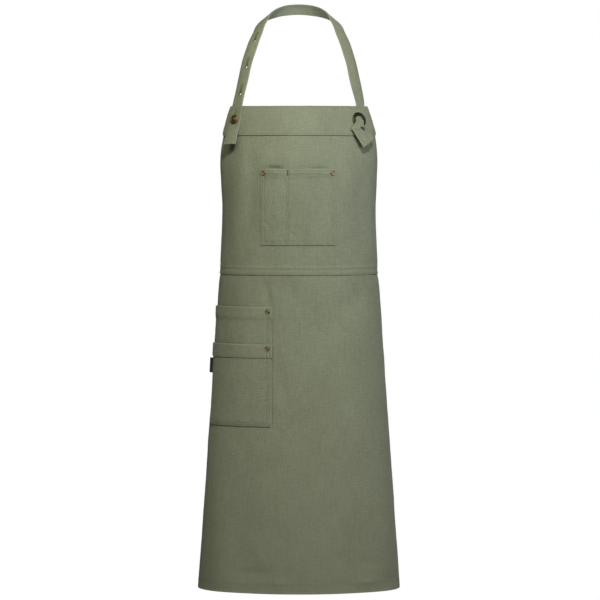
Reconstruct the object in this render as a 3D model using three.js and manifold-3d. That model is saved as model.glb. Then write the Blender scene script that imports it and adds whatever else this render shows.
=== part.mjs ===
// Canvas bib apron in the form that it takes when it is worn: a bib and a skirt panel wrapped round the
// body, a folded band along the top, a neck strap that is buttoned at one side and knotted through an
// eyelet at the other, three patch pockets, their rivets and a plain side label.
//
// Millimetres, +Z up. The wearer faces -Y, and +X is on the right of a front view. The origin is at the
// nape, in the middle of the neck strap's inner face.
//
// Places on the cloth have three coordinates: u, measured along the cloth from the centre front, drop,
// measured down from the nape, and lift, measured outwards from the inner face of the panels.

import * as THREE from "three";
import { mergeVertices } from "three/addons/utils/BufferGeometryUtils.js";
import Module from "manifold-3d";

const wasm = await Module();
wasm.setup();

// Cloth
const CANVAS = 1.2; // one layer of canvas
const GAP = 0.3; // air between two pieces
const PLY = CANVAS + GAP; // from one layer to the next
const PATCH = PLY + 0.15; // a patch pocket's inner face over the panel
const SIDE_HEM = 12; // turned hem along the sides
const BOTTOM_HEM = 20; // turned hem along the bottom
const HEM_RAMP = 1.5; // where a turned hem steps down to one layer

// Levels on the panels, as drops below the nape
const TOP_EDGE = 184;
const BAND_HEIGHT = 55;
const BAND_END = TOP_EDGE + BAND_HEIGHT;
const BAND_OVERHANG = 1.2; // the band's ends stand out past the bib
const WAIST_SEAM = 496;
const WAIST_LAP = 11; // the bib laps over the skirt by this much
const LAP_RAMP = 8; // and steps outwards over this length
const HEM_EDGE = 1084;

// Pockets
const BIB_POCKET = { left: -71.2, right: 68.4, top: 301, bottom: 440.5, hem: 12, divider: -21, slack: 1.4 };
const UPPER_POCKET = { left: -191, right: -51.4, top: 555, bottom: 775.5, hem: 25, slack: 1.0 };
const LOWER_POCKET = { left: -191, right: -51.4, top: 624, bottom: 775.5, hem: 25, slack: 1.0 };
const HEM_OVERHANG = 2.8; // a side pocket's folded hem is this much wider at its right end

// Hardware
const EYELET = { u: 115.2, drop: 210.5, hole: 8, barrel: 9, flange: 14, bead: 1.7, washer: 1.2, rimDip: 1.1 };
const BUTTON = { u: -122.6, drop: 210, cap: 8.5, height: 3.4, post: 2, tack: 5, rimDip: 0.3 };
const RIVET = { cap: 4.7, height: 1.7, nub: 1.9, post: 1.4, burr: 4, inset: 7 };

// Neck strap
const STRAP = { width: 25, thick: 2, stepLength: 15 };
const BUTTONHOLE = { spacing: 55, count: 3, eye: 3.2, slit: 0.8, length: 19, first: 48.5, aside: -3 };

// Side label, sewn in at the pocket's left edge and standing out
const LABEL = { top: 650.5, height: 28, reach: 8.6, standOff: 5.4, thick: 1.3 };

// Worn form: one row for each level. halfWidth is to the side, reach is how far the centre front lies
// before the nape, and the depths run from the widest place to the front and to the back.
const WORN_SECTIONS = [
  { drop: 150, halfWidth: 147, reach: 138, frontDepth: 74, backDepth: 84 },
  { drop: 184, halfWidth: 147.2, reach: 151, frontDepth: 81, backDepth: 86 },
  { drop: 240, halfWidth: 145.9, reach: 173, frontDepth: 93, backDepth: 90 },
  { drop: 300, halfWidth: 145.4, reach: 186, frontDepth: 101, backDepth: 93 },
  { drop: 375, halfWidth: 142.3, reach: 187, frontDepth: 103, backDepth: 93 },
  { drop: 440, halfWidth: 144.2, reach: 183, frontDepth: 100, backDepth: 94 },
  { drop: 496, halfWidth: 147.7, reach: 180, frontDepth: 99, backDepth: 97 },
  { drop: 600, halfWidth: 154.6, reach: 181, frontDepth: 101, backDepth: 101 },
  { drop: 800, halfWidth: 169, reach: 188, frontDepth: 107, backDepth: 108 },
  { drop: 1084, halfWidth: 188.8, reach: 199, frontDepth: 113, backDepth: 116 },
];

// Cut of the panels: half of the cloth's width at each level, before it is wrapped round the body.
const CUT_ROWS = [
  { drop: 150, halfCut: 116 },
  { drop: 184, halfCut: 133 },
  { drop: 240, halfCut: 164 },
  { drop: 300, halfCut: 198 },
  { drop: 370, halfCut: 243 },
  { drop: 440, halfCut: 287 },
  { drop: 496, halfCut: 312 },
  { drop: 620, halfCut: 322 },
  { drop: 1084, halfCut: 352 },
];

// Soft folds: one row for each ridge, or dent where rise is negative. lean is the sideways drift of its
// line for each millimetre down.
const FOLD_ROWS = [
  { u: -122, drop: 335, lean: -0.1, halfWidth: 20, halfLength: 90, rise: 2.6 }, // left of the bib
  { u: 128, drop: 330, lean: 0.12, halfWidth: 20, halfLength: 70, rise: -2.4 }, // right of the bib
  { u: 112, drop: 541, lean: -0.35, halfWidth: 22, halfLength: 32, rise: -3.4 }, // below the waist
  { u: -16, drop: 527, lean: 0.3, halfWidth: 18, halfLength: 20, rise: -1.8 },
  { u: -170, drop: 1000, lean: -0.05, halfWidth: 34, halfLength: 130, rise: 4.5 }, // left of the hem
  { u: -105, drop: 1010, lean: -0.03, halfWidth: 30, halfLength: 120, rise: -3 },
  { u: 178, drop: 1010, lean: 0.05, halfWidth: 34, halfLength: 150, rise: 4 }, // right of the hem
  { u: 112, drop: 1020, lean: 0.03, halfWidth: 32, halfLength: 150, rise: -3 },
  { u: -270, drop: 900, lean: -0.06, halfWidth: 34, halfLength: 230, rise: -7 }, // behind the sides
  { u: 270, drop: 900, lean: 0.06, halfWidth: 34, halfLength: 230, rise: -7 },
];

// Half of the neck loop, from the nape to the top of the bib on the +X side: the strap's middle line, and
// the way that its outer face looks.
const NECK_ROWS = [
  { x: 0, y: 1, z: 0.3, faceX: 0, faceY: 0.69, faceZ: 0.73 },
  { x: 24.4, y: -4, z: -2.1, faceX: 0.3, faceY: 0.64, faceZ: 0.71 },
  { x: 40.6, y: -17, z: -7.2, faceX: 0.48, faceY: 0.57, faceZ: 0.66 },
  { x: 57.4, y: -34, z: -13.1, faceX: 0.56, faceY: 0.17, faceZ: 0.81 },
  { x: 56.8, y: -50, z: -16.7, faceX: 0.61, faceY: -0.25, faceZ: 0.75 },
  { x: 63.9, y: -62, z: -23.7, faceX: 0.62, faceY: -0.5, faceZ: 0.61 },
  { x: 71.3, y: -70, z: -35.1, faceX: 0.62, faceY: -0.62, faceZ: 0.49 },
  { x: 76.4, y: -77, z: -46.1, faceX: 0.62, faceY: -0.72, faceZ: 0.33 },
  { x: 85.5, y: -87, z: -67, faceX: 0.6, faceY: -0.76, faceZ: 0.26 },
  { x: 97, y: -102, z: -104, faceX: 0.62, faceY: -0.75, faceZ: 0.22 },
  { x: 105, y: -113, z: -141, faceX: 0.63, faceY: -0.74, faceZ: 0.2 },
];

// The buttoned end of the strap lies on the band, and its tail stands off and turns to the front: front is
// the share of that turn. The knotted end runs down behind the band, is gathered through the eyelet and
// comes out in front of it.
const BUTTONED_ROWS = [
  { u: -113.4, drop: 178, lift: 6.6, front: -0.3, width: 23.5, thick: 2 },
  { u: -118.8, drop: 196, lift: 4.6, front: -0.05, width: 25, thick: 2 },
  { u: -122.6, drop: 210, lift: 4.1, front: 0, width: 25, thick: 2 },
  { u: -124, drop: 219.5, lift: 4.25, front: 0, width: 25, thick: 2 },
  { u: -124.6, drop: 228, lift: 6.8, front: 0.1, width: 25, thick: 2 },
  { u: -125.4, drop: 241, lift: 11.4, front: 0.22, width: 25, thick: 2 },
  { u: -126, drop: 257.2, lift: 16.4, front: 0.3, width: 25, thick: 2 },
];
const KNOTTED_ROWS = [
  { u: 119.6, drop: 174, lift: -4.4, front: 0, width: 19.5, thick: 2.2 },
  { u: 118, drop: 187, lift: -5.6, front: 0, width: 16.8, thick: 2.6 },
  { u: 115.8, drop: 197, lift: -8, front: 0, width: 13.4, thick: 3.2 },
  { u: 115.2, drop: 204, lift: -7.6, front: 0, width: 11, thick: 3.4 },
  { u: 115.2, drop: 210.5, lift: 0, front: 0, width: 12, thick: 3.4 },
  { u: 114.8, drop: 214.5, lift: 6.8, front: 0, width: 13, thick: 3.4 },
  { u: 114.2, drop: 220, lift: 9.2, front: 0, width: 16.5, thick: 3.6 },
  { u: 113.4, drop: 226, lift: 9.6, front: 0, width: 20, thick: 3.4 },
];

// The knot on the front of the band: corners of its tail, and the wrap that the tail comes from.
const KNOT_TAIL = {
  topLeft: { u: 95.5, drop: 226.5, lift: 8.2 },
  topRight: { u: 126.5, drop: 229, lift: 7.8 },
  endRight: { u: 142, drop: 243, lift: 12 },
  endLeft: { u: 118.6, drop: 263, lift: 13.4 },
  crease: 4,
};
const KNOT_WRAP = { u: 113, drop: 222.5, lift: 9.2, across: 16.5, along: 7, out: 3.7 };

// A smooth value between the rows of a table: a cubic through every row.
function smoothColumn(rows, along, column) {
  const slopes = rows.map((row, i) => {
    const before = rows[Math.max(i - 1, 0)];
    const after = rows[Math.min(i + 1, rows.length - 1)];
    return (after[column] - before[column]) / (after[along] - before[along]);
  });
  return (at) => {
    let i = 0;
    while (i < rows.length - 2 && at > rows[i + 1][along]) i++;
    const span = rows[i + 1][along] - rows[i][along];
    const t = (at - rows[i][along]) / span;
    const rise = rows[i + 1][column] - rows[i][column];
    const startBend = t * (1 - t) * (1 - t) * span * slopes[i];
    const endBend = t * t * (t - 1) * span * slopes[i + 1];
    return rows[i][column] + rise * t * t * (3 - 2 * t) + startBend + endBend;
  };
}

const smoothStep = THREE.MathUtils.smoothstep;
const halfCutAt = smoothColumn(CUT_ROWS, "drop", "halfCut");
const sectionColumns = ["halfWidth", "reach", "frontDepth", "backDepth"].map((column) =>
  smoothColumn(WORN_SECTIONS, "drop", column),
);

// The point at an angle round one level of the worn form: 0 is the centre front, and a quarter turn is
// the side.
function roundSection([halfWidth, reach, frontDepth, backDepth], angle) {
  const depth = Math.abs(angle) < Math.PI / 2 ? frontDepth : backDepth;
  return [halfWidth * Math.sin(angle), frontDepth - reach - depth * Math.cos(angle)];
}

// The same point found by its distance along the cloth, from a walk round the level.
const WALK_STEPS = 90;
const WALK_END = 2.9;
const walks = new Map();
function walkAt(drop) {
  if (!walks.has(drop)) {
    const section = sectionColumns.map((column) => column(drop));
    const lengths = [0];
    for (let i = 1; i <= WALK_STEPS; i++) {
      const [x0, y0] = roundSection(section, ((i - 1) / WALK_STEPS) * WALK_END);
      const [x1, y1] = roundSection(section, (i / WALK_STEPS) * WALK_END);
      lengths.push(lengths[i - 1] + Math.hypot(x1 - x0, y1 - y0));
    }
    walks.set(drop, { section, lengths });
  }
  return walks.get(drop);
}
function formPoint(u, drop) {
  const { section, lengths } = walkAt(drop);
  const distance = Math.abs(u);
  let i = 1;
  while (i < WALK_STEPS && lengths[i] < distance) i++;
  const share = (distance - lengths[i - 1]) / (lengths[i] - lengths[i - 1]);
  const angle = ((i - 1 + share) / WALK_STEPS) * WALK_END * Math.sign(u);
  const [x, y] = roundSection(section, angle);
  return new THREE.Vector3(x, y, -drop);
}
const PROBE = 1;
function formNormal(u, drop) {
  const across = formPoint(u + PROBE, drop).sub(formPoint(u - PROBE, drop));
  const down = formPoint(u, drop + PROBE).sub(formPoint(u, drop - PROBE));
  return down.cross(across).normalize();
}

// How far the folds raise the cloth at a place.
function foldRise(u, drop) {
  return FOLD_ROWS.reduce((rise, fold) => {
    const along = drop - fold.drop;
    const across = u - fold.u - fold.lean * along;
    return rise + fold.rise * Math.exp(-((across / fold.halfWidth) ** 2) - (along / fold.halfLength) ** 2);
  }, 0);
}

// A place on the cloth in space.
function worn(u, drop, lift) {
  return formPoint(u, drop).addScaledVector(formNormal(u, drop), lift + foldRise(u, drop));
}

// Solids from closed geometries, and back.
function solidOf(geometry) {
  const bare = geometry.clone();
  bare.deleteAttribute("normal");
  bare.deleteAttribute("uv");
  const merged = mergeVertices(bare, 1e-3);
  return new wasm.Manifold(
    new wasm.Mesh({
      numProp: 3,
      vertProperties: new Float32Array(merged.attributes.position.array),
      triVerts: new Uint32Array(merged.index.array),
    }),
  );
}
function geometryOf(solid) {
  const mesh = solid.getMesh();
  const geometry = new THREE.BufferGeometry();
  geometry.setAttribute("position", new THREE.BufferAttribute(mesh.vertProperties, 3));
  geometry.setIndex(new THREE.BufferAttribute(mesh.triVerts, 1));
  geometry.computeVertexNormals();
  return geometry;
}
function cutFrom(geometry, tools) {
  return geometryOf(tools.reduce((solid, tool) => solid.subtract(solidOf(tool)), solidOf(geometry)));
}
function fused(geometries) {
  return geometryOf(geometries.map(solidOf).reduce((all, solid) => all.add(solid)));
}

// A closed wall from a profile with an outside and an inside of as many points each, drawn out across a
// number of steps. place gives the point in space for a profile point and a step.
function drawnWall({ outside, inside, steps, place }) {
  const contour = [...outside, ...[...inside].reverse()];
  const round = contour.length;
  const points = [];
  for (let step = 0; step <= steps; step++) contour.forEach((at) => points.push(place(at, step)));
  const index = [];
  // Each face is split along its shorter diagonal, so layers that lie on each other are split alike.
  const face = (a, b, c, d) => {
    const isShort = points[a].distanceTo(points[c]) < points[b].distanceTo(points[d]);
    index.push(...(isShort ? [a, b, c, a, c, d] : [a, b, d, b, c, d]));
  };
  for (let step = 0; step < steps; step++) {
    for (let i = 0; i < round; i++) {
      const j = (i + 1) % round;
      face(step * round + i, step * round + j, (step + 1) * round + j, (step + 1) * round + i);
    }
  }
  const last = steps * round;
  for (let i = 0; i < outside.length - 1; i++) {
    const across = round - 1 - i;
    face(i, across, across - 1, i + 1);
    face(last + i, last + i + 1, last + across - 1, last + across);
  }
  const geometry = new THREE.BufferGeometry().setFromPoints(points);
  geometry.setIndex(index);
  return geometry;
}

// A piece of cloth: its profile, in lift and drop, is drawn out across the cloth and worn. columns gives
// u at each step, from the left edge to the right one.
function clothPiece({ profile, steps, columns, raise = () => 0 }) {
  const place = ([lift, drop], step) => {
    const u = columns(step, drop, lift);
    return worn(u, drop, lift + raise(u, drop, step, lift));
  };
  return drawnWall({ ...profile, steps, place });
}

// Levels from one drop to another in equal steps, with extra ones where a profile turns.
function levels(from, to, step, extra = []) {
  const count = Math.max(1, Math.round((to - from) / step));
  const even = Array.from({ length: count + 1 }, (_, i) => from + ((to - from) * i) / count);
  const clear = even.filter((drop, i) => {
    const isEnd = i === 0 || i === count;
    return isEnd || extra.every((at) => Math.abs(at - drop) > 3);
  });
  return [...clear, ...extra].sort((a, b) => a - b);
}

// The profile of one sheet.
function sheetProfile(drops, outer, inner) {
  return {
    outside: drops.map((drop) => [outer(drop), drop]),
    inside: drops.map((drop) => [inner(drop), drop]),
  };
}

// Columns of a panel, which follow its cut: the side hems take the outer two, the rest are even.
const PANEL_STEPS = 30;
function panelColumns(step, drop) {
  const half = halfCutAt(drop);
  const inside = half - SIDE_HEM - HEM_RAMP;
  const fromEdge = Math.min(step, PANEL_STEPS - step);
  const side = step * 2 < PANEL_STEPS ? -1 : 1;
  if (fromEdge === 0) return side * half;
  if (fromEdge === 1) return side * (half - SIDE_HEM);
  return inside * ((2 * (step - 2)) / (PANEL_STEPS - 4) - 1);
}
const inSideHem = (step) => Math.min(step, PANEL_STEPS - step) < 2;

// Tools that make room for a post through the cloth, and the place of a piece of hardware on it.
const UP = new THREE.Vector3(0, 1, 0);
function seat(object, { u, drop }, lift = 0) {
  object.position.copy(worn(u, drop, lift));
  object.quaternion.setFromUnitVectors(UP, formNormal(u, drop));
  object.updateMatrix();
  return object;
}
const HOLE_SIDES = 16;
function postHole(place, radius, reach = 14) {
  const tool = new THREE.Mesh(new THREE.CylinderGeometry(radius, radius, reach, HOLE_SIDES));
  seat(tool, place);
  return tool.geometry.applyMatrix4(tool.matrix);
}

// Where the hardware goes
const bibRivets = [
  { name: "bib_pocket_rivet_left", u: BIB_POCKET.left + RIVET.inset, drop: BIB_POCKET.top + 6.5 },
  { name: "bib_pocket_rivet_right", u: BIB_POCKET.right - RIVET.inset, drop: BIB_POCKET.top + 7 },
];
const upperRivet = { name: "upper_pocket_rivet", u: UPPER_POCKET.right - 6, drop: UPPER_POCKET.top + 8.5 };
const lowerRivet = { name: "lower_pocket_rivet", u: LOWER_POCKET.right - 6, drop: LOWER_POCKET.top + 7.5 };
const rivetHole = (place) => postHole(place, RIVET.post + GAP, 24);
const eyeletHole = postHole(EYELET, EYELET.barrel + GAP);
const buttonHole = postHole(BUTTON, BUTTON.post + GAP);

// Panels. The bib has the band's levels under the band, so that the two lie flat on each other.
const bandDrops = levels(TOP_EDGE + 2, BAND_END, 26);
function bibPanel() {
  const lapStart = WAIST_SEAM - WAIST_LAP - LAP_RAMP;
  const lapEnd = WAIST_SEAM - WAIST_LAP;
  const hemStart = BAND_END + 4;
  const outwards = (drop) => PLY * smoothStep(drop, lapStart, lapEnd);
  const drops = [...bandDrops, ...levels(hemStart, WAIST_SEAM, 32, [hemStart + HEM_RAMP, lapStart, lapEnd])];
  const hemmed = (drop) => drop > hemStart && drop < lapStart + 1;
  const cloth = clothPiece({
    profile: sheetProfile(drops, (drop) => CANVAS + outwards(drop), outwards),
    steps: PANEL_STEPS,
    columns: panelColumns,
    raise: (u, drop, step, lift) => (lift < GAP && inSideHem(step) && hemmed(drop) ? -CANVAS : 0),
  });
  return cutFrom(cloth, [eyeletHole, buttonHole, ...bibRivets.map(rivetHole)]);
}

function skirtPanel() {
  const hemStart = HEM_EDGE - BOTTOM_HEM;
  const drops = levels(WAIST_SEAM - WAIST_LAP + GAP, HEM_EDGE, 66, [WAIST_SEAM, hemStart, hemStart + HEM_RAMP]);
  const inner = (drop) => (drop > hemStart ? -CANVAS : 0);
  const cloth = clothPiece({
    profile: sheetProfile(drops, () => CANVAS, inner),
    steps: PANEL_STEPS,
    columns: panelColumns,
    raise: (u, drop, step, lift) => (lift === 0 && inSideHem(step) ? -CANVAS : 0),
  });
  return cutFrom(cloth, [upperRivet, lowerRivet].map(rivetHole));
}

// The top band is one strip folded over the bib's upper edge, with a leaf on each side of it.
function topBand() {
  const front = CANVAS + PLY;
  const back = -PLY;
  const upwards = [...bandDrops].reverse();
  const leaves = (behind, fold, before) => [
    ...upwards.map((drop) => [behind, drop]),
    ...fold,
    ...bandDrops.map((drop) => [before, drop]),
  ];
  const foldTop = TOP_EDGE + 0.4;
  const foldUnder = TOP_EDGE + CANVAS;
  const profile = {
    outside: leaves(back, [[back + 0.6, foldTop], [CANVAS / 2, TOP_EDGE], [front - 0.6, foldTop]], front),
    inside: leaves(-GAP, [[-GAP, foldUnder], [CANVAS / 2, foldUnder], [PLY, foldUnder]], PLY),
  };
  const columns = (step, drop) => {
    const end = step === PANEL_STEPS ? BAND_OVERHANG : 0;
    return panelColumns(step, drop) + (step === 0 ? -BAND_OVERHANG : end);
  };
  return cutFrom(clothPiece({ profile, steps: PANEL_STEPS, columns }), [eyeletHole, buttonHole]);
}

// A patch pocket stands off a little between its sewn edges.
function slackAt(pocket, from, to, u, drop) {
  const across = THREE.MathUtils.clamp((u - from) / (to - from), 0, 1);
  const up = THREE.MathUtils.clamp((pocket.bottom - drop) / (pocket.bottom - pocket.top), 0, 1);
  return pocket.slack * Math.sin(Math.PI * across) * Math.sin((Math.PI / 2) * Math.min(1, up * 1.3));
}
const bibPocketSlack = (u, drop) => {
  const { left, right, divider } = BIB_POCKET;
  return u < divider
    ? slackAt(BIB_POCKET, left, divider, u, drop)
    : slackAt(BIB_POCKET, divider, right, u, drop);
};
const upperSlack = (u, drop) => slackAt(UPPER_POCKET, UPPER_POCKET.left, UPPER_POCKET.right, u, drop);
const lowerSlack = (u, drop) =>
  upperSlack(u, drop) + slackAt(LOWER_POCKET, LOWER_POCKET.left, LOWER_POCKET.right, u, drop);

// The bib pocket's hem is turned to the inside, so its upper edge is two layers thick.
function bibPocket() {
  const { left, right, top, bottom, hem } = BIB_POCKET;
  const drops = levels(top, bottom, 26, [top + hem, top + hem + HEM_RAMP]);
  const outer = (drop) => CANVAS + PATCH + (drop < top + hem + HEM_RAMP / 2 ? CANVAS : 0);
  const steps = 12;
  const cloth = clothPiece({
    profile: sheetProfile(drops, outer, () => PATCH),
    steps,
    columns: (step) => left + ((right - left) * step) / steps,
    raise: bibPocketSlack,
  });
  return cutFrom(cloth, bibRivets.map(rivetHole));
}

// A side pocket's upper edge is folded to the front, where the fold lies as a band.
function sidePocket(pocket, base, slack, rivets) {
  const { left, right, top, bottom, hem } = pocket;
  const outer = base + CANVAS;
  const leaf = outer + PLY;
  const foldEnd = top + hem;
  const wall = levels(top + 2, bottom, 36, [foldEnd]);
  const fold = wall.filter((drop) => drop <= foldEnd);
  const upwards = [...wall].reverse();
  const folded = (behind, over, before) => [
    ...upwards.map((drop) => [behind, drop]),
    ...over,
    ...fold.map((drop) => [before, drop]),
  ];
  const foldUnder = top + CANVAS;
  const profile = {
    outside: folded(base, [[base + 0.5, top], [leaf - 0.5, top]], leaf),
    inside: folded(outer, [[outer, foldUnder], [outer + GAP, foldUnder]], outer + GAP),
  };
  const steps = 15;
  const columns = (step, drop, lift) => {
    const inFold = lift > outer + GAP / 2;
    const end = inFold && step === steps ? HEM_OVERHANG : 0;
    return left + ((right - left) * step) / steps + end;
  };
  return cutFrom(clothPiece({ profile, steps, columns, raise: slack }), rivets.map(rivetHole));
}

// Neck strap: its stations from the tail of the buttoned end to the knot.
const FRONT = new THREE.Vector3(0, -1, 0);
function clothStation({ u, drop, lift, front, width, thick }) {
  return { point: worn(u, drop, lift), face: formNormal(u, drop).lerp(FRONT, front).normalize(), width, thick };
}
function neckStation({ x, y, z, faceX, faceY, faceZ }, side) {
  return {
    point: new THREE.Vector3(side * x, y, z),
    face: new THREE.Vector3(side * faceX, faceY, faceZ).normalize(),
    width: STRAP.width,
    thick: STRAP.thick,
  };
}
function strapStations() {
  const buttoned = BUTTONED_ROWS.map(clothStation).reverse();
  const rising = NECK_ROWS.map((row) => neckStation(row, -1)).reverse();
  const falling = NECK_ROWS.slice(1).map((row) => neckStation(row, 1));
  return [...buttoned, ...rising, ...falling, ...KNOTTED_ROWS.map(clothStation)];
}

// The strap as smooth columns along its length.
const STATION_COLUMNS = ["x", "y", "z", "faceX", "faceY", "faceZ", "width", "thick"];
function strapLine() {
  let along = 0;
  let last = null;
  const rows = strapStations().map(({ point, face, width, thick }) => {
    along += last ? point.distanceTo(last) : 0;
    last = point;
    const [x, y, z] = point.toArray();
    const [faceX, faceY, faceZ] = face.toArray();
    return { along, x, y, z, faceX, faceY, faceZ, width, thick };
  });
  const columns = STATION_COLUMNS.map((column) => smoothColumn(rows, "along", column));
  return { length: along, rows, at: (where) => columns.map((column) => column(where)) };
}
const strap = strapLine();

// A frame on the strap: x across it, y out of its face and z along it.
function strapFrame(where) {
  const [x, y, z, faceX, faceY, faceZ, width, thick] = strap.at(where);
  const [ax, ay, az] = strap.at(Math.min(where + PROBE, strap.length));
  const [bx, by, bz] = strap.at(Math.max(where - PROBE, 0));
  const forward = new THREE.Vector3(ax - bx, ay - by, az - bz).normalize();
  const across = new THREE.Vector3(faceX, faceY, faceZ).cross(forward).normalize();
  const face = forward.clone().cross(across);
  const matrix = new THREE.Matrix4().makeBasis(across, face, forward).setPosition(x, y, z);
  return { matrix, width, thick };
}

// The strap's section is flat with eased edges, and is drawn along its line.
const STRAP_EASE = 0.7;
function strapBand() {
  const steps = Math.round(strap.length / STRAP.stepLength);
  const section = new THREE.Shape([
    new THREE.Vector2(-1, 0),
    new THREE.Vector2(-1, -1),
    new THREE.Vector2(1, -1),
    new THREE.Vector2(1, 0),
    new THREE.Vector2(1, 1),
    new THREE.Vector2(-1, 1),
  ]);
  const geometry = new THREE.ExtrudeGeometry(section, { depth: steps, steps, bevelEnabled: false });
  const position = geometry.getAttribute("position");
  const place = new THREE.Vector3();
  for (let i = 0; i < position.count; i++) {
    const { matrix, width, thick } = strapFrame((position.getZ(i) / steps) * strap.length);
    const side = position.getX(i);
    const up = position.getY(i);
    const half = width / 2 - (up === 0 ? 0 : STRAP_EASE);
    place.set(side * half, (up * thick) / 2, 0).applyMatrix4(matrix);
    position.setXYZ(i, ...place.toArray());
  }
  return geometry;
}

// A keyhole buttonhole: a round eye towards the buttoned end, and a slit away from it. It lies aside of the
// strap's middle line.
function keyhole(where, aside) {
  const { eye, slit, length } = BUTTONHOLE;
  const opening = Math.asin(slit / eye);
  const shape = new THREE.Shape();
  shape.absarc(0, 0, eye, Math.PI / 2 + opening, Math.PI / 2 - opening + 2 * Math.PI, false);
  shape.lineTo(slit, length);
  shape.lineTo(-slit, length);
  const depth = 8;
  const tool = new THREE.ExtrudeGeometry(shape, { depth, bevelEnabled: false, curveSegments: 8 });
  tool.translate(aside, 0, -depth / 2).rotateX(Math.PI / 2);
  return tool.applyMatrix4(strapFrame(where).matrix);
}

// The knot's wrap is a rounded body, and the tail is a strip with a crease down its middle.
function knotWrap() {
  const wrap = new THREE.SphereGeometry(1, 12, 8);
  wrap.scale(KNOT_WRAP.across, KNOT_WRAP.out, KNOT_WRAP.along);
  const frame = new THREE.Matrix4();
  const out = formNormal(KNOT_WRAP.u, KNOT_WRAP.drop);
  const down = worn(KNOT_WRAP.u, KNOT_WRAP.drop + PROBE, 0).sub(worn(KNOT_WRAP.u, KNOT_WRAP.drop, 0)).normalize();
  const across = out.clone().cross(down).normalize();
  frame.makeBasis(across, out, across.clone().cross(out)).setPosition(worn(KNOT_WRAP.u, KNOT_WRAP.drop, KNOT_WRAP.lift));
  return wrap.applyMatrix4(frame);
}
function knotTail() {
  const { topLeft, topRight, endRight, endLeft, crease } = KNOT_TAIL;
  const steps = 6;
  const rows = [0, 0.2, 0.4, 0.6, 0.8, 1];
  const mix = THREE.MathUtils.lerp;
  const place = ([up, down], step) => {
    const across = step / steps;
    const inTail = (axis) =>
      mix(mix(topLeft[axis], topRight[axis], across), mix(endLeft[axis], endRight[axis], across), down);
    const ridge = crease * (1 - Math.abs(2 * across - 1)) * mix(0.2, 1, down);
    return worn(inTail("u"), inTail("drop"), inTail("lift") + ridge + up);
  };
  return drawnWall({ ...sheetProfile(rows, () => STRAP.thick, () => 0), steps, place });
}

// The length along the strap at which its button sits, and the free buttonholes above it.
const buttonAlong = strap.rows[BUTTONED_ROWS.length - 1 - 2].along;
function neckStrap() {
  const free = Array.from({ length: BUTTONHOLE.count }, (_, i) => {
    return buttonAlong + BUTTONHOLE.first + BUTTONHOLE.spacing * i;
  });
  const holes = [keyhole(buttonAlong, 0), ...free.map((where) => keyhole(where, BUTTONHOLE.aside))];
  const banded = cutFrom(strapBand(), holes);
  return fused([banded, knotWrap(), knotTail()]);
}

// Hardware, turned about the axis that stands out of the cloth. Heights are lifts.
const TURN_SIDES = 16;
function turned(points, sides = TURN_SIDES) {
  const closed = [...points, points[0]].map(([radius, height]) => new THREE.Vector2(radius, height));
  return new THREE.LatheGeometry(closed, sides);
}
function eyeletRing() {
  const { hole, barrel, flange, bead, washer, rimDip } = EYELET;
  const front = CANVAS + PLY + GAP;
  const back = -PLY - GAP - rimDip; // the inner face is hollow, so the washer meets it at the rim
  return turned([
    [hole, back - washer],
    [flange - 0.5, back - washer],
    [flange, back - washer / 2],
    [flange - 0.5, back],
    [barrel, back],
    [barrel, front],
    [flange, front],
    [flange, front + 0.5],
    [flange - 1.4, front + bead * 0.9],
    [(flange + hole) / 2, front + bead],
    [hole + 0.9, front + bead * 0.8],
    [hole, front + 0.3],
  ]);
}
function jeansButton() {
  const { cap, height, post, tack, rimDip } = BUTTON;
  const under = 2 * CANVAS + 2 * GAP + STRAP.thick + GAP + 0.5;
  const back = -PLY - GAP - rimDip;
  return turned([
    [0, back - 1.2],
    [tack - 0.8, back - 1.2],
    [tack, back - 0.6],
    [tack, back],
    [post, back],
    [post, under],
    [cap - 0.7, under],
    [cap, under + 0.8],
    [cap, under + height * 0.5],
    [cap - 1.2, under + height * 0.9],
    [cap - 2.4, under + height],
    [cap - 3.1, under + height * 0.8],
    [2.2, under + height * 0.7],
    [0, under + height * 0.95],
  ]);
}
const RIVET_SIDES = 12;
function pocketRivet(seatLift) {
  const { cap, height, nub, post, burr } = RIVET;
  const under = seatLift + GAP;
  const back = -3 * GAP;
  return turned(
    [
      [0, back - 0.8],
      [burr, back - 0.8],
      [burr, back],
      [post, back],
      [post, under],
      [cap, under],
      [cap - 0.9, under + height * 0.8],
      [nub, under + height * 0.5],
      [nub * 0.75, under + height * 0.95],
      [0, under + height],
    ],
    RIVET_SIDES,
  );
}

// The label is a short folded tab: it leaves the pocket's edge and stands away from the skirt.
function sideLabel() {
  const { top, height, reach, standOff, thick } = LABEL;
  const root = LOWER_POCKET.left - GAP;
  const steps = 4;
  const rootLift = CANVAS + GAP + 0.4;
  return clothPiece({
    profile: sheetProfile(levels(top, top + height, 14), () => thick, () => 0),
    steps,
    columns: (step) => root - (reach * (steps - step)) / steps,
    raise: (u) => rootLift + standOff * ((root - u) / reach) ** 1.3,
  });
}

// Finishes, one row for each kind of surface
const CANVAS_CLOTH = { color: 0x858c77, roughness: 0.92, metalness: 0 };
const LABEL_CLOTH = { color: 0x26261f, roughness: 0.85, metalness: 0 };
const AGED_BRASS = { color: 0x7a6238, roughness: 0.45, metalness: 1 };
const COPPER = { color: 0x8a5a34, roughness: 0.38, metalness: 1 };
const DARK_BRONZE = { color: 0x4a4330, roughness: 0.42, metalness: 1 };

// A named piece of the apron with a material of its own. Hardware is seated at its place on the cloth.
function piece(name, geometry, surface, place) {
  const mesh = new THREE.Mesh(geometry, new THREE.MeshStandardMaterial(surface));
  mesh.name = name;
  return place ? seat(mesh, place) : mesh;
}
function rivet(place, lift) {
  return piece(place.name, pocketRivet(lift), AGED_BRASS, place);
}

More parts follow.
